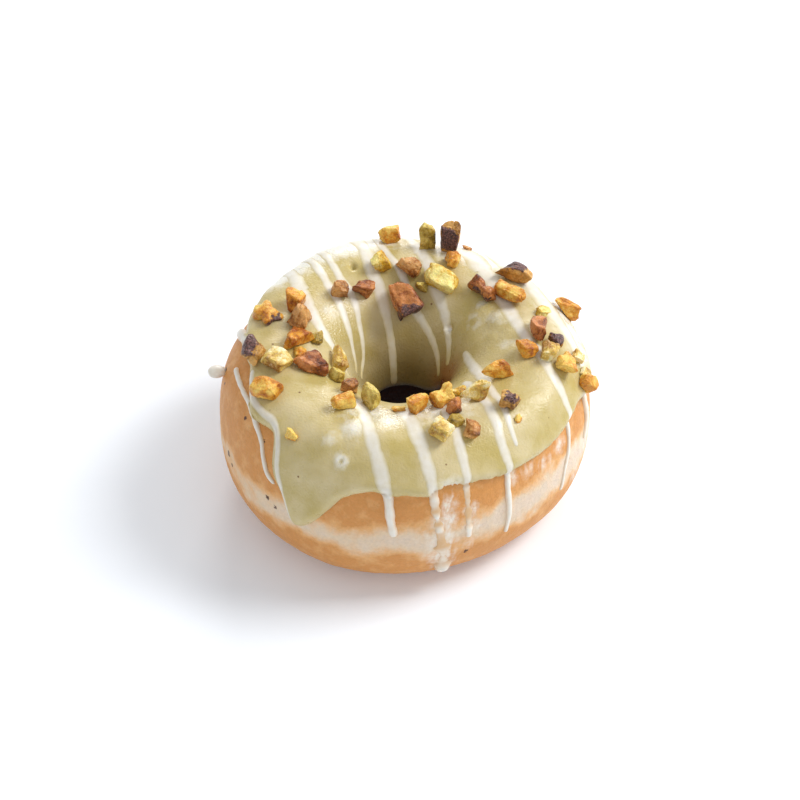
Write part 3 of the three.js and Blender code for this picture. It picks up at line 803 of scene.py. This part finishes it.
# %% White icing material
def white_icing():
    """White sugar icing over green glaze or brown dough, mixed by how much it covers."""
    material, tree, places = new_material("white_sugar_icing")
    cover, bare = (
        node(tree, "Attribute", attribute_name=label).outputs["Fac"] for label in ("cover", "bare")
    )
    streak = node(tree, "TexNoise", {"Vector": places, "Scale": per_size(1.6), "Detail": 4})
    thin = node(tree, "MapRange", {"Value": streak.outputs["Fac"], 1: 0.3, 2: 0.7, 3: -0.16, 4: 0.08})
    white = node(tree, "Math", {0: cover, 1: thin.outputs[0]}, operation="ADD", use_clamp=True)
    under = node(
        tree,
        "Mix",
        {0: bare, 6: glaze_colour(tree, places), 7: colour("#dcb383")},
        data_type="RGBA",
    )
    mixed = node(
        tree,
        "Mix",
        {0: white.outputs[0], 6: under.outputs[2], 7: colour("#ece7dc")},
        data_type="RGBA",
    )
    grain = node(tree, "TexNoise", {"Vector": places, "Scale": per_size(0.6), "Detail": 3})
    relief = node(
        tree, "Bump", {"Strength": 0.3, "Distance": 0.12 * MM, "Height": grain.outputs["Fac"]}
    )
    shader = node(
        tree,
        "BsdfPrincipled",
        {
            "Base Color": mixed.outputs[2],
            "Roughness": 0.34,
            "Normal": relief.outputs[0],
            "IOR": 1.49,
            "Subsurface Weight": 0.2,
            "Subsurface Radius": (1.0, 0.9, 0.7),
            "Subsurface Scale": 1.2 * MM,
        },
    )
    node(tree, "OutputMaterial", {"Surface": shader.outputs[0]})
    return material


ICING = white_icing()
print("icing nodes:", len(ICING.node_tree.nodes))

# %% [markdown]
# ## Icing: the lines
#
# The icing was drizzled from a spoon in strokes from the back left to the front right. Each stroke
# could be a curve with a round bevel, but on the glaze it lies almost flush and on the bare dough
# it hangs as a raised thread. So a section is carried along the path, and its height follows what
# is under it. The section's places are worked out as ring and tube angles, which keeps its edges on
# the surface however the ring curves.

# %% Icing lines
ICING_STEP = 0.35 * MM
ICING_TOP = 21
ICING_UNDER = 7
# How high the icing stands on the glaze, and on bare dough as a share of its width. On the glaze
# it spreads wider by a share, down the hole its end thins out, and a wiped stroke still hangs in
# a drop at its end.
FLUSH = 0.14 * MM
THREAD = 0.42
SPREAD = 0.3
THIN_END = 6 * MM
DROP_LENGTH = 4 * MM
# Places along each stroke: ring angle, tube angle and width in mm.
ICING_LINES = {
    "far_left": [
        (187, 52, 1.4), (199, 53, 1.5), (205, 53, 1.5), (212.5, 47.5, 1.5), (218, 40, 1.4),
        (221, 30.5, 1.3), (224.5, 22, 1.3), (227.5, 19, 1),
    ],
    "left": [
        (196, 70, 1.6), (206, 61, 1.8), (214.5, 60, 1.7), (220, 61, 1.8), (223.5, 57, 1.7),
        (227, 46.5, 1.4), (229, 34, 1.4), (232, 22, 1.2), (236, 5, 1),
    ],
    "front_left": [
        (238.5, 111, 2.4), (245, 105.5, 2.8), (252, 95, 2.8), (256, 85, 3), (259.5, 70.5, 3.2),
        (262, 57.5, 3.2), (263.5, 46.5, 3), (265, 35.5, 2.4), (265.5, 25.5, 2.3), (266, 16, 2.2),
        (267, 4.5, 2.2),
    ],
    "front": [
        (267, 113, 2.6), (270.5, 104, 3.2), (273.5, 95.5, 3.4), (275, 86, 3.4), (276.5, 74, 3.3),
        (277.5, 61.5, 3), (278.5, 50, 2.8), (279, 40.5, 2.4), (279.5, 31, 2), (280, 19, 1.6),
        (281, 6.5, 2.2), (282, -6.5, 3), (282.5, -20, 3.8), (282.5, -36, 4.2),
    ],
    "front_right": [
        (291.5, 101, 2.4), (291, 91, 2.6), (291, 79.5, 2.7), (290.5, 67.5, 2.6),
        (290.5, 55.5, 2.4), (290.5, 44, 2.2), (290.5, 33.5, 1.8), (290.5, 20.5, 2),
        (290.5, 8, 1.8), (290.5, -2, 1.2),
    ],
    "right": [
        (321, 122.5, 2), (316, 110, 2.4), (313, 98.5, 2.5), (311, 90.5, 2.5), (309, 81.5, 2.5),
        (307.5, 71, 2.5), (306, 60.5, 2.5), (305.5, 50.5, 2.5), (305.5, 41.5, 2.1),
        (305.5, 30.5, 1.6), (305, 20, 1.6), (305, 9, 1.6), (305, 1.5, 1.6), (304.5, -4, 1.2),
        (304, -11, 1),
    ],
    "right_short": [
        (7, 136.5, 1.8), (352.5, 132.5, 2.3), (335.5, 121.5, 2.4), (325.5, 108.5, 2.4),
        (321, 100, 2.2), (318, 92.5, 1.9), (316.5, 87, 1.7), (314, 77, 1.7), (312, 67, 1.5),
        (311, 57.5, 1.2), (310.5, 48.5, 1),
    ],
    "right_inner": [
        (84, 22, 1.4), (80, 44, 2.2), (73, 62, 2.8), (62, 77.5, 3.4), (52, 87.5, 4),
        (41.5, 93.5, 4), (32, 96.5, 3.4), (23, 98, 3.2), (13.5, 98, 3), (3, 96, 2.8),
        (355, 91, 2.8), (349, 84.5, 2.6), (343.5, 75.5, 2.5), (339.5, 63, 2.4), (337, 52, 2.2),
        (335.5, 42, 1.8), (334.5, 28.5, 1.3), (333, 16, 1.2), (330, 2, 1.1), (328.5, -8, 1),
    ],
    "right_outer": [
        (70, 18, 1.4), (64, 44, 2.4), (56, 62, 3), (47.5, 71, 3.4), (38.5, 73.5, 4.2),
        (30.5, 72, 4.8), (21.5, 70, 4.8), (13.5, 66, 4.8), (7, 61, 4.4), (1, 55, 3.8),
        (356, 47, 3.2), (352, 39.5, 2.6), (349, 29, 2.2), (347, 15, 1.8), (344, 6, 1.2),
    ],
    "back_1": [
        (136, 30, 1.6), (136.5, 50, 2.4), (139, 64.5, 3), (144, 81, 3.3), (150, 92.5, 3.2),
        (157.5, 103, 2.8), (164.5, 113, 2.6), (171.5, 122.5, 2.3), (180, 130.5, 1.9),
        (195.5, 136.5, 1.4), (206, 137, 1),
    ],
    "back_2": [
        (128.5, 34, 1.3), (129, 55, 1.8), (130, 72.5, 2.2), (132, 86, 2.4), (136, 99.5, 2.5),
        (139, 110, 2.5), (143, 120, 2.2), (149, 130.5, 1.8), (157.5, 139.5, 1.3),
        (170.5, 148.5, 1.1), (183, 150, 1),
    ],
    "back_3": [
        (121, 14, 1.3), (122.5, 48, 1.7), (124, 78, 2.2), (125.5, 91.5, 2.4),
        (127.5, 101.5, 2.4), (128, 112.5, 2.4), (130, 122.5, 2.3), (134, 131.5, 2),
        (142, 142.5, 1.5), (157, 153, 1.2), (180, 157, 1),
    ],
    "back_4": [
        (112, 24, 1.8), (110, 50, 2.8), (108, 82, 3.2), (108, 96.5, 3.8), (108.5, 107.5, 3.6),
        (107.5, 120, 3.2), (107, 131.5, 2.8), (106.5, 143.5, 2.2), (106, 154.5, 2),
        (107.5, 177, 1.8),
    ],
    "back_5": [
        (101, 17, 1.3), (100.5, 45, 1.8), (100.5, 80.5, 2), (98, 93, 2.2), (92.5, 105, 2.2),
        (87.5, 119, 2.2), (79.5, 132.5, 2.2), (67.5, 140.5, 2.1), (53, 147.5, 1.9),
        (37.5, 154.5, 1.6), (22, 163, 1.3),
    ],
    "back_6": [
        (92, -4, 1.4), (91, 38, 2.2), (88.5, 68, 2.2), (85, 82, 2.8), (81, 90.5, 3.2),
        (74.5, 102.5, 3.4), (68, 114.5, 3.2), (58.5, 124, 2.8), (46.5, 133.5, 2.4),
        (30.5, 143.5, 2), (15, 152.5, 1.4),
    ],
}
# A stray dab at the left rim, and the strokes that were wiped off the bare dough, with how much
# white was left there.
SPLASHES = {
    "left": [(163, 34, 1.6), (167, 45, 2.3), (171, 54, 2.4), (176, 62, 2.4), (181, 68, 2)],
}
SMEARED = {"front": 0.5, "front_right": 0.4}


def smooth_path(places, step):
    """A path through (ring, tube, width) places at even steps: between two places it is a cubic
    whose slope at each place is that of the line through its neighbours."""
    places = np.array(places, float)
    places[:, 0] = np.degrees(np.unwrap(np.radians(places[:, 0])))
    points, _ = on_dough(places[:, 0], places[:, 1])
    reach = np.concatenate([[0], np.cumsum(np.linalg.norm(np.diff(points, axis=0), axis=1))])
    slope = np.gradient(places, reach, axis=0)
    at = np.linspace(0, reach[-1], max(int(reach[-1] / step), 12))
    start = np.clip(np.searchsorted(reach, at, "right") - 1, 0, len(reach) - 2)
    span = (reach[start + 1] - reach[start])[:, None]
    t = (at - reach[start])[:, None] / span
    path = (2 * t**3 - 3 * t**2 + 1) * places[start] + (t**3 - 2 * t**2 + t) * span * slope[start]
    path = path + (3 * t**2 - 2 * t**3) * places[start + 1]
    path = path + (t**3 - t**2) * span * slope[start + 1]
    return path, at


def beside(ring, tube, heading, offset):
    """The angles of places a distance to the side of a path: the offset's direction, square to
    the heading on the surface, is split between the ring's direction and the tube's."""
    nudge = 0.5
    here, normal = on_dough(ring, tube)
    along_ring = (on_dough(ring + nudge, tube)[0] - here) / nudge
    along_tube = (on_dough(ring, tube + nudge)[0] - here) / nudge
    side = np.cross(normal, heading)
    side = side / np.linalg.norm(side, axis=-1, keepdims=True)
    ring_share = (side * along_ring).sum(-1) / (along_ring**2).sum(-1)
    tube_share = (side * along_tube).sum(-1) / (along_tube**2).sum(-1)
    return ring[:, None] + ring_share[:, None] * offset, tube[:, None] + tube_share[:, None] * offset


def icing_loops(places, smear):
    """The loops of an icing line, with how much white covers each point and whether dough is
    under it. The section is a low arch whose height is a share of its width, less on the glaze,
    and both ends close on a quarter circle. Noise makes the width wander, and more so where a
    smeared stroke crosses bare dough; there its white is patchy too, but for the drop at its
    end. White is thickest along the middle and fades to both edges."""
    path, at = smooth_path(places, ICING_STEP)
    ring, tube, width = path.T
    centre, _ = on_dough(ring, tube)
    heading = np.gradient(centre, axis=0)
    ragged = 1 + 5 * (smear < 1) * (glaze_top(ring, tube) == 0)
    wander = 1 + ragged * (0.14 * noise(centre, 2.2 * MM, 2) + 0.08 * noise(centre, 0.9 * MM, 3))
    spread = 1 + SPREAD * smooth_step(glaze_top(ring, tube), 0, 1.2 * MM)
    half = width * wander * spread * MM / 2
    from_end = np.minimum(at - at[0] + 0.02 * MM, at[-1] - at + 0.02 * MM)
    short = 1 - np.clip(from_end / (1.1 * half), 0, 1)
    swell = np.sqrt(1 - short * short)[:, None]
    angle = np.pi * np.linspace(0, 1, ICING_TOP)
    share = np.concatenate([-np.cos(angle), np.linspace(1, -1, ICING_UNDER + 2)[1:-1]])
    top = np.arange(len(share)) < ICING_TOP
    rings, tubes = beside(ring, tube, heading, share * half[:, None] * swell)
    coat = glaze_top(rings, tubes)
    glazed = smooth_step(coat, 0, 1.2 * MM)
    arch = np.sqrt(np.clip(1 - share * share, 0, 1))
    flat = arch**3
    middle = glazed[:, ICING_TOP // 2][:, None]
    drop = (smear < 1) * smooth_step(at, at[-1] - DROP_LENGTH, at[-1] - DROP_LENGTH / 2)
    uneven = smear + (smear < 1) * 0.8 * noise(centre, 1.8 * MM, 4)
    smear = np.clip(uneven + drop, 0, 1)[:, None]
    raised = THREAD * half[:, None] * 2 * (0.25 + 0.75 * smear**3)
    height = (FLUSH * flat * middle + raised * arch * (1 - middle)) * swell
    lift = np.where(top, coat + height - 0.03 * MM, np.minimum(coat, 0.3 * MM) - 0.2 * MM)
    lift = np.where(top, lift, np.where(glazed > 0.5, coat - 0.3 * MM, lift))
    points, _ = on_dough(rings, tubes, lift)
    feather = smooth_step(1 - np.abs(share), 0.0, 0.7)
    # Down the hole the white fades towards the glaze colour: partly the icing thinning there, partly
    # painted shade.
    deep = smooth_step(tubes, HOLE_MOUTH, 172)
    cover = glazed * feather * (0.86 - 0.4 * deep) + (1 - glazed) * (0.5 + 0.5 * feather) * smear
    if tube[-1] > HOLE_MOUTH:
        cover = cover * smooth_step(at[-1] - at, 0, THIN_END)[:, None]
    ends = np.stack([points[0].mean(axis=0), points[-1].mean(axis=0)])
    points = np.concatenate([points.reshape(-1, 3), ends])
    cover = np.concatenate([(cover * smooth_step(swell, 0, 0.8)).ravel(), [0, 0]])
    bare = np.concatenate([(1 - glazed).ravel(), [0, 0]])
    return points, loaf_faces(len(at), len(share)), cover, bare


strokes = {"stroke_" + name: places for name, places in ICING_LINES.items()}
strokes.update({"splash_" + name: places for name, places in SPLASHES.items()})
for title, places in strokes.items():
    kind, name = title.split("_", 1)
    points, faces, cover, bare = icing_loops(places, SMEARED.get(name, 1.0))
    add_piece(
        "icing_" + title,
        points,
        faces,
        ICING,
        replaces=["icing_line_" + name] if kind == "stroke" else (),
        slot="icing",
        cover=cover,
        bare=bare,
    )
print("icing strokes:", len(strokes))

# %% [markdown]
# ## Icing: the drop at the left
#
# One drop fell past the rim and set on the bare dough, standing out like a small ear. Its place
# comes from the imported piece. It is a ball grid stretched to that piece's box times a few shares
# that suit its look, made uneven by noise.

# %% Icing drop
def ball(rows, columns):
    """Unit directions of a ball as loops round its x axis, and the two poles that close it."""
    level = np.pi * (np.arange(rows) + 0.5) / rows
    turn = 2 * np.pi * np.arange(columns) / columns
    level, turn = np.meshgrid(level, turn, indexing="ij")
    loops = np.stack([np.cos(level), np.sin(level) * np.cos(turn), np.sin(level) * np.sin(turn)], -1)
    return np.concatenate([loops.reshape(-1, 3), [[1, 0, 0], [-1, 0, 0]]])


def packed_points(name):
    """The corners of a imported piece."""
    mesh = frame["nodes"][name].data
    flat = np.empty(len(mesh.vertices) * 3, np.float32)
    mesh.vertices.foreach_get("co", flat)
    return flat.reshape(-1, 3).astype(float)


BALL_GRID = (52, 72)
DROP_SWELL = np.array([1.45, 1.15, 0.95])
ball_directions = ball(*BALL_GRID)
ball_faces = loaf_faces(*BALL_GRID)
drop_low, drop_high = (np.array(corner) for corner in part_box("icing_drop_left"))
drop_middle = (drop_low + drop_high) / 2
inward = np.array([-drop_middle[0], -drop_middle[1], 0])
inward = inward / np.linalg.norm(inward)
drop_points = ball_directions * (drop_high - drop_low) * DROP_SWELL / 2
drop_points = drop_points * (1 + 0.12 * noise(ball_directions, 0.9))[:, None]
drop_points = drop_points + drop_middle - inward * 0.2 * MM
add_piece(
    "icing_drop",
    drop_points,
    ball_faces,
    ICING,
    replaces=["icing_drop_left"],
    slot="icing",
    cover=np.ones(len(drop_points)),
    bare=np.zeros(len(drop_points)),
)
print("drop across, mm:", np.round((drop_high - drop_low) / MM, 1))

# %% [markdown]
# ## Nuts: their finish
#
# Roasted pistachio breaks into waxy chunks. The flesh runs from yellow green to orange brown,
# darker where the roasting caught an edge, and scraps of the papery skin stay purple. The chunks
# share one recipe with different colours. The painted layers give each chunk its own tone, its
# broken edges, painted shade in its creases, and its skin.

# %% Roasted pistachio materials
NUT_COLOURS = {
    "nut_golden": ("#a5560f", "#dc9322", "#f5cf68"),
    "nut_yellow": ("#a87012", "#dfb02a", "#f8e690"),
    "nut_pale": ("#ad7a2c", "#e2c05c", "#faf0c6"),
    "nut_olive": ("#685414", "#ab8b2c", "#e0c86c"),
    "nut_brown": ("#68380f", "#b06f28", "#e3ad6a"),
    "nut_russet": ("#4e1e0a", "#96501c", "#d28a4c"),
    "nut_purple": ("#653a14", "#b07a2a", "#deae62"),
}
SKIN = ("#38221f", "#9a6c64")


def roasted_pistachio(slot):
    """Waxy broken nut: three tones by cloudy noise and the chunk's own tint, darker roasted edges
    with pale broken crumbs on them, painted shade in the creases, and papery skin in patches."""
    dark, middle, light = NUT_COLOURS[slot]
    material, tree, places = new_material("roasted_pistachio_" + slot.removeprefix("nut_"))
    tint, edge, skin = (
        node(tree, "Attribute", attribute_name=label).outputs["Fac"]
        for label in ("tint", "edge", "skin")
    )
    cloud, blot, crumb = (
        node(
            tree,
            "TexNoise",
            {"Vector": places, "Scale": per_size(size), "Detail": 4, "Roughness": 0.6},
        ).outputs["Fac"]
        for size in (2.4, 1.0, 0.4)
    )
    # Darker on roasted edges and, as painted shade, in the creases.
    roast_and_crease_shade = node(tree, "Math", {0: edge, 1: -0.26}, operation="MULTIPLY")
    tone = node(tree, "MapRange", {"Value": cloud, 1: 0.3, 2: 0.7, 3: -0.5, 4: 0.5})
    tone = node(tree, "Math", {0: tone.outputs[0], 1: tint}, operation="ADD")
    tone = node(tree, "Math", {0: tone.outputs[0], 1: roast_and_crease_shade.outputs[0]}, operation="ADD")
    ramp = node(tree, "ValToRGB", {"Fac": tone.outputs[0]})
    stops = ramp.color_ramp.elements
    stops[0].color = colour(dark)
    stops[1].color = colour(light)
    stops.new(0.5).color = colour(middle)
    floury = node(tree, "MapRange", {"Value": blot, 1: 0.56, 2: 0.68, 3: 0.0, 4: 0.45})
    dusted = node(
        tree,
        "Mix",
        {0: floury.outputs[0], 6: ramp.outputs["Color"], 7: colour(light)},
        data_type="RGBA",
    )
    grainy = node(tree, "MapRange", {"Value": crumb, 1: 0.3, 2: 0.7, 3: 0.8, 4: 1.12})
    flesh = node(
        tree,
        "Mix",
        {0: 1.0, 6: dusted.outputs[2], 7: grainy.outputs[0]},
        data_type="RGBA",
        blend_type="MULTIPLY",
    )
    peel = node(tree, "MapRange", {"Value": blot, 1: 0.3, 2: 0.7, 3: -0.35, 4: 0.35})
    peel = node(tree, "Math", {0: skin, 1: peel.outputs[0]}, operation="ADD")
    peel = node(tree, "MapRange", {"Value": peel.outputs[0], 1: 0.4, 2: 0.6})
    papery = node(tree, "MapRange", {"Value": crumb, 1: 0.4, 2: 0.75})
    skin_tone = node(
        tree,
        "Mix",
        {0: papery.outputs[0], 6: colour(SKIN[0]), 7: colour(SKIN[1])},
        data_type="RGBA",
    )
    whole = node(
        tree,
        "Mix",
        {0: peel.outputs[0], 6: flesh.outputs[2], 7: skin_tone.outputs[2]},
        data_type="RGBA",
    )
    shine = node(tree, "MapRange", {"Value": blot, 1: 0.3, 2: 0.7, 3: 0.2, 4: 0.5})
    fine = node(tree, "Bump", {"Strength": 0.8, "Distance": 0.22 * MM, "Height": crumb})
    relief = node(
        tree,
        "Bump",
        {"Strength": 0.5, "Distance": 0.45 * MM, "Height": blot, "Normal": fine.outputs[0]},
    )
    shader = node(
        tree,
        "BsdfPrincipled",
        {
            "Base Color": whole.outputs[2],
            "Roughness": shine.outputs[0],
            "Normal": relief.outputs[0],
            "IOR": 1.48,
            "Subsurface Weight": 0.25,
            "Subsurface Radius": (1.0, 0.65, 0.25),
            "Subsurface Scale": 1.0 * MM,
        },
    )
    node(tree, "OutputMaterial", {"Surface": shader.outputs[0]})
    return material


NUT_MATERIALS = {slot: roasted_pistachio(slot) for slot in NUT_COLOURS}
print("nut finishes:", len(NUT_MATERIALS))

# %% [markdown]
# ## Nuts: the chunks
#
# A chopped nut is an irregular block: a few broken faces with worn edges, some hollows and a
# crumbly grain. Rocks like this are often made by bevelling a hull. Here the surface lies, in
# every direction, where the nearest of a few tipped faces would cut it, and a power mean of all
# the faces rounds the edges. Dents and noise break the regular shape, and the chunk is fitted to
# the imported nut's length, width and height and set down into the glaze.

# %% Nut chunks
BLOCKINESS = 0.86
SUNK = 0.35 * MM
# How many degrees each nut's length is turned on the glaze. Skin: the side that it covers, as
# length, width and height, and how much. Then how far single nuts are bent, tapered, hollowed
# between four corners, grown, or pinched at the middle, as shares of their size.
NUT_TURNS = {
    3: 10, 4: 120, 6: 135, 7: 172, 9: 110, 10: 60, 11: 140, 12: 28, 13: 174, 14: 21, 15: 63,
    16: 165, 17: 30, 19: 45, 21: 90, 22: 118, 23: 20, 26: 136, 27: 20, 28: 40, 29: 40, 32: 30,
    33: 53, 34: 94, 35: 137, 36: 18, 37: 15, 38: 20, 40: 40, 41: 50, 42: 120,
}
SKINNED = {
    3: (0.2, 1.0, -0.1, 0.55), 9: (1.0, 0.0, 0.1, 0.45), 12: (0.5, -0.1, 0.9, 0.5),
    13: (0.2, -0.6, -0.2, 0.4), 17: (0.0, 0.1, 1.0, 0.8), 23: (0.8, 0.7, -0.2, 0.15),
    27: (-0.4, -0.2, 1.0, 0.55), 42: (-0.4, 0.2, 1.0, 0.4), 16: (-0.6, -0.4, -0.3, 0.3),
}
BENT = {14: 0.35, 26: 0.4, 7: 0.2, 28: 0.2, 16: -0.3}
TAPERED = {25: 0.7, 3: 0.2, 29: 0.15}
STARRED = {23: 0.28, 29: 0.14}
GROWN = {31: 1.3, 2: 1.2, 24: 1.15}
PINCHED = {13: 0.4, 37: 0.35, 42: 0.3, 4: 0.2}


def nut_frame(points, turn):
    """The middle of a nut, its length, width and height directions as rows, and its half sizes.
    The height is the glaze's outward direction, and the length is the ring's own direction
    turned about it. The bottom is let down into the glaze."""
    middle = (points.min(axis=0) + points.max(axis=0)) / 2
    place = glaze_points[:, :GLAZE_OUTSIDE].reshape(-1, 3)
    near = np.argmin(((place - middle) ** 2).sum(axis=-1))
    ring = ring_grid[:, :GLAZE_OUTSIDE].ravel()[near]
    tube = tube_grid[:, :GLAZE_OUTSIDE].ravel()[near]
    _, up = on_dough(ring, tube)
    forward = np.array([-np.sin(np.radians(ring)), np.cos(np.radians(ring)), 0])
    sideways = np.cross(up, forward)
    length = forward * np.cos(np.radians(turn)) + sideways * np.sin(np.radians(turn))
    axes = np.stack([length, np.cross(up, length), up])
    spread = (points - middle) @ axes.T
    low, high = spread.min(axis=0), spread.max(axis=0)
    low[2] = min(low[2], (place[near] - middle) @ up - SUNK)
    return middle + (low + high) / 2 @ axes, axes, (high - low) / 2


def unit_rows(rows):
    """Each row scaled to length one."""
    return rows / np.linalg.norm(rows, axis=1, keepdims=True)


def swirled(directions, shift):
    """Directions pushed about by three slow noises, which bends flat faces and straight edges."""
    pushes = [noise(directions + shift + 7 * axis, 0.8, axis) for axis in range(3)]
    return unit_rows(directions + 0.24 * np.stack(pushes, axis=-1))


def chunk(random):
    """Where a broken block's surface lies in every direction, and how near an edge or a crease it
    is, for roasted edges and for painted shade in the creases. It has the six faces of a box,
    tipped at random, and seven cuts across its corners. The surface is at one over the power mean
    of how far each face is crossed, less a few round dents and some creases, where a noise passes
    through zero, with noise of three sizes on top."""
    shift = random.uniform(0, 50)
    faces = np.concatenate([np.eye(3), -np.eye(3)]) + 0.3 * random.normal(size=(6, 3))
    planes = unit_rows(np.concatenate([faces, random.normal(size=(7, 3))]))
    away = np.concatenate([random.uniform(0.75, 1.0, 6), random.uniform(0.8, 1.1, 7)])
    crossing = np.maximum(swirled(ball_directions, shift) @ (planes / away[:, None]).T, 1e-6)
    largest = np.sort(crossing, axis=1)[:, -2:]
    sharpness = random.uniform(14, 34)
    out = 1 / (crossing**sharpness).sum(axis=1) ** (1 / sharpness)
    edge = smooth_step(largest[:, 0] / largest[:, 1], 0.86, 1.0)
    dents = unit_rows(random.normal(size=(7, 3)))
    near = np.clip(ball_directions @ dents.T, 0, 1) ** 16
    hollow = (near * random.uniform(0.03, 0.2, 7)).sum(axis=1)
    crease = (1 - np.abs(noise(ball_directions + shift, 0.6, 4))) ** 9
    out = out * (1 - hollow) * (1 - 0.1 * crease)
    out = out * (1 + 0.05 * noise(ball_directions + shift, 0.5, 1))
    out = out * (1 + 0.025 * noise(ball_directions + shift, 0.22, 2))
    out = out * (1 + 0.015 * noise(ball_directions + shift, 0.1, 3))
    # The second value marks edges and creases; the material paints shade into the creases.
    return ball_directions * out[:, None], np.maximum(edge, crease)


def to_unit_box(points):
    """Points stretched until they touch every side of a box from -1 to 1."""
    low, high = points.min(axis=0), points.max(axis=0)
    return (points - (low + high) / 2) / ((high - low) / 2)


def shaped(points, number):
    """A chunk in its unit box, made blockier by a power of each coordinate, then bent sideways by
    the square of its length, tapered with its height, pinched at the middle, or hollowed
    between star corners."""
    points = to_unit_box(points)
    x, y, z = (np.sign(points) * np.abs(points) ** BLOCKINESS).T
    pinch = 1 - PINCHED.get(number, 0) * np.exp(-((x / 0.35) ** 2))
    narrow = 1 - TAPERED.get(number, 0) * np.clip((z + 1) / 2, 0, 1)
    star = 1 + STARRED.get(number, 0) * np.cos(4 * np.arctan2(y, x) + 0.6)
    y = y * pinch + BENT.get(number, 0) * (1 - x * x)
    return to_unit_box(np.stack([x * narrow * star, y * narrow * star, z * pinch], axis=-1))


def skin_layer(directions, number, random):
    """How surely skin covers each direction: high on the side given for a skinned nut, with a
    ragged edge by noise, and nothing on the others."""
    *side, amount = SKINNED.get(number, (0, 0, 1, 0))
    side = np.array(side)
    facing = directions @ (side / np.linalg.norm(side))
    shift = random.uniform(0, 50)
    patchy = 0.35 * noise(directions + shift, 0.5, 3)
    return np.clip(0.5 + (facing + amount - 1) * 1.2 + patchy, 0, 1) * (amount > 0)


def chunk_tint(directions, random):
    """The tone of a chunk: its own, and lighter towards one side, where it broke fresh."""
    side = unit_rows(random.normal(size=(1, 3)))[0]
    return random.uniform(0.52, 0.86) + 0.34 * directions @ side


for name in sorted(n for n in frame["nodes"] if n.startswith("pistachio_piece_")):
    number = int(name[-2:])
    random = np.random.default_rng(500 + number)
    middle, axes, half = nut_frame(packed_points(name), NUT_TURNS.get(number, 0))
    points, edge = chunk(random)
    add_piece(
        name.replace("piece", "chunk"),
        middle + (shaped(points, number) * half * GROWN.get(number, 1)) @ axes,
        ball_faces,
        NUT_MATERIALS[slot_of[name]],
        replaces=[name],
        slot=slot_of[name],
        tint=chunk_tint(ball_directions, random),
        edge=edge,
        skin=skin_layer(ball_directions, number, random),
    )
print("nut chunks made, points each:", len(ball_directions))

# %% [markdown]
# ## Nuts: the crumbs
#
# Chopping also leaves crumbs of a few millimetres. They are too small to matter to the packed
# model, so they are only made here, with the same shape function as the chunks.

# %% Nut crumbs
# Each crumb's finish, ring angle, tube angle, length and width in mm.
CRUMBS = [
    ("nut_olive", 293, 87, 4.0, 3.4), ("nut_yellow", 14, 79, 3.4, 3.4),
    ("nut_pale", 355.5, 54.5, 3.5, 3.5), ("nut_pale", 352, 44.5, 3.4, 3.0),
    ("nut_olive", 176.5, 115, 4.9, 2.9), ("nut_golden", 193, 103, 4.0, 3.0),
    ("nut_golden", 267, 108, 3.4, 2.0), ("nut_russet", 6.5, 162, 2.7, 2.0),
    ("nut_yellow", 307.5, 110, 3.7, 2.7), ("nut_golden", 316, 66, 2.0, 2.0),
    ("nut_golden", 229.5, 61, 3.4, 2.6), ("nut_brown", 64, 69, 2.4, 2.0),
]
CRUMB_HEIGHT = 0.62

for index, (slot, ring, tube, length, width) in enumerate(CRUMBS):
    random = np.random.default_rng(800 + index)
    points, edge = chunk(random)
    points = shaped(points, 0)
    height = CRUMB_HEIGHT * width * MM
    middle, up = on_dough(ring, tube, glaze_top(ring, tube) + height / 2 - 0.3 * MM)
    along = np.cross([0, 0, 1], middle)
    along = along / np.linalg.norm(along)
    axes = np.stack([along, np.cross(up, along), up])
    half = np.array([length * MM, width * MM, height]) / 2
    add_piece(
        f"pistachio_crumb_{index + 1:02d}",
        middle + (points * half) @ axes,
        ball_faces,
        NUT_MATERIALS[slot],
        slot=slot,
        tint=chunk_tint(ball_directions, random),
        edge=edge,
        skin=np.zeros(len(points)),
    )
print("crumbs:", len(CRUMBS))
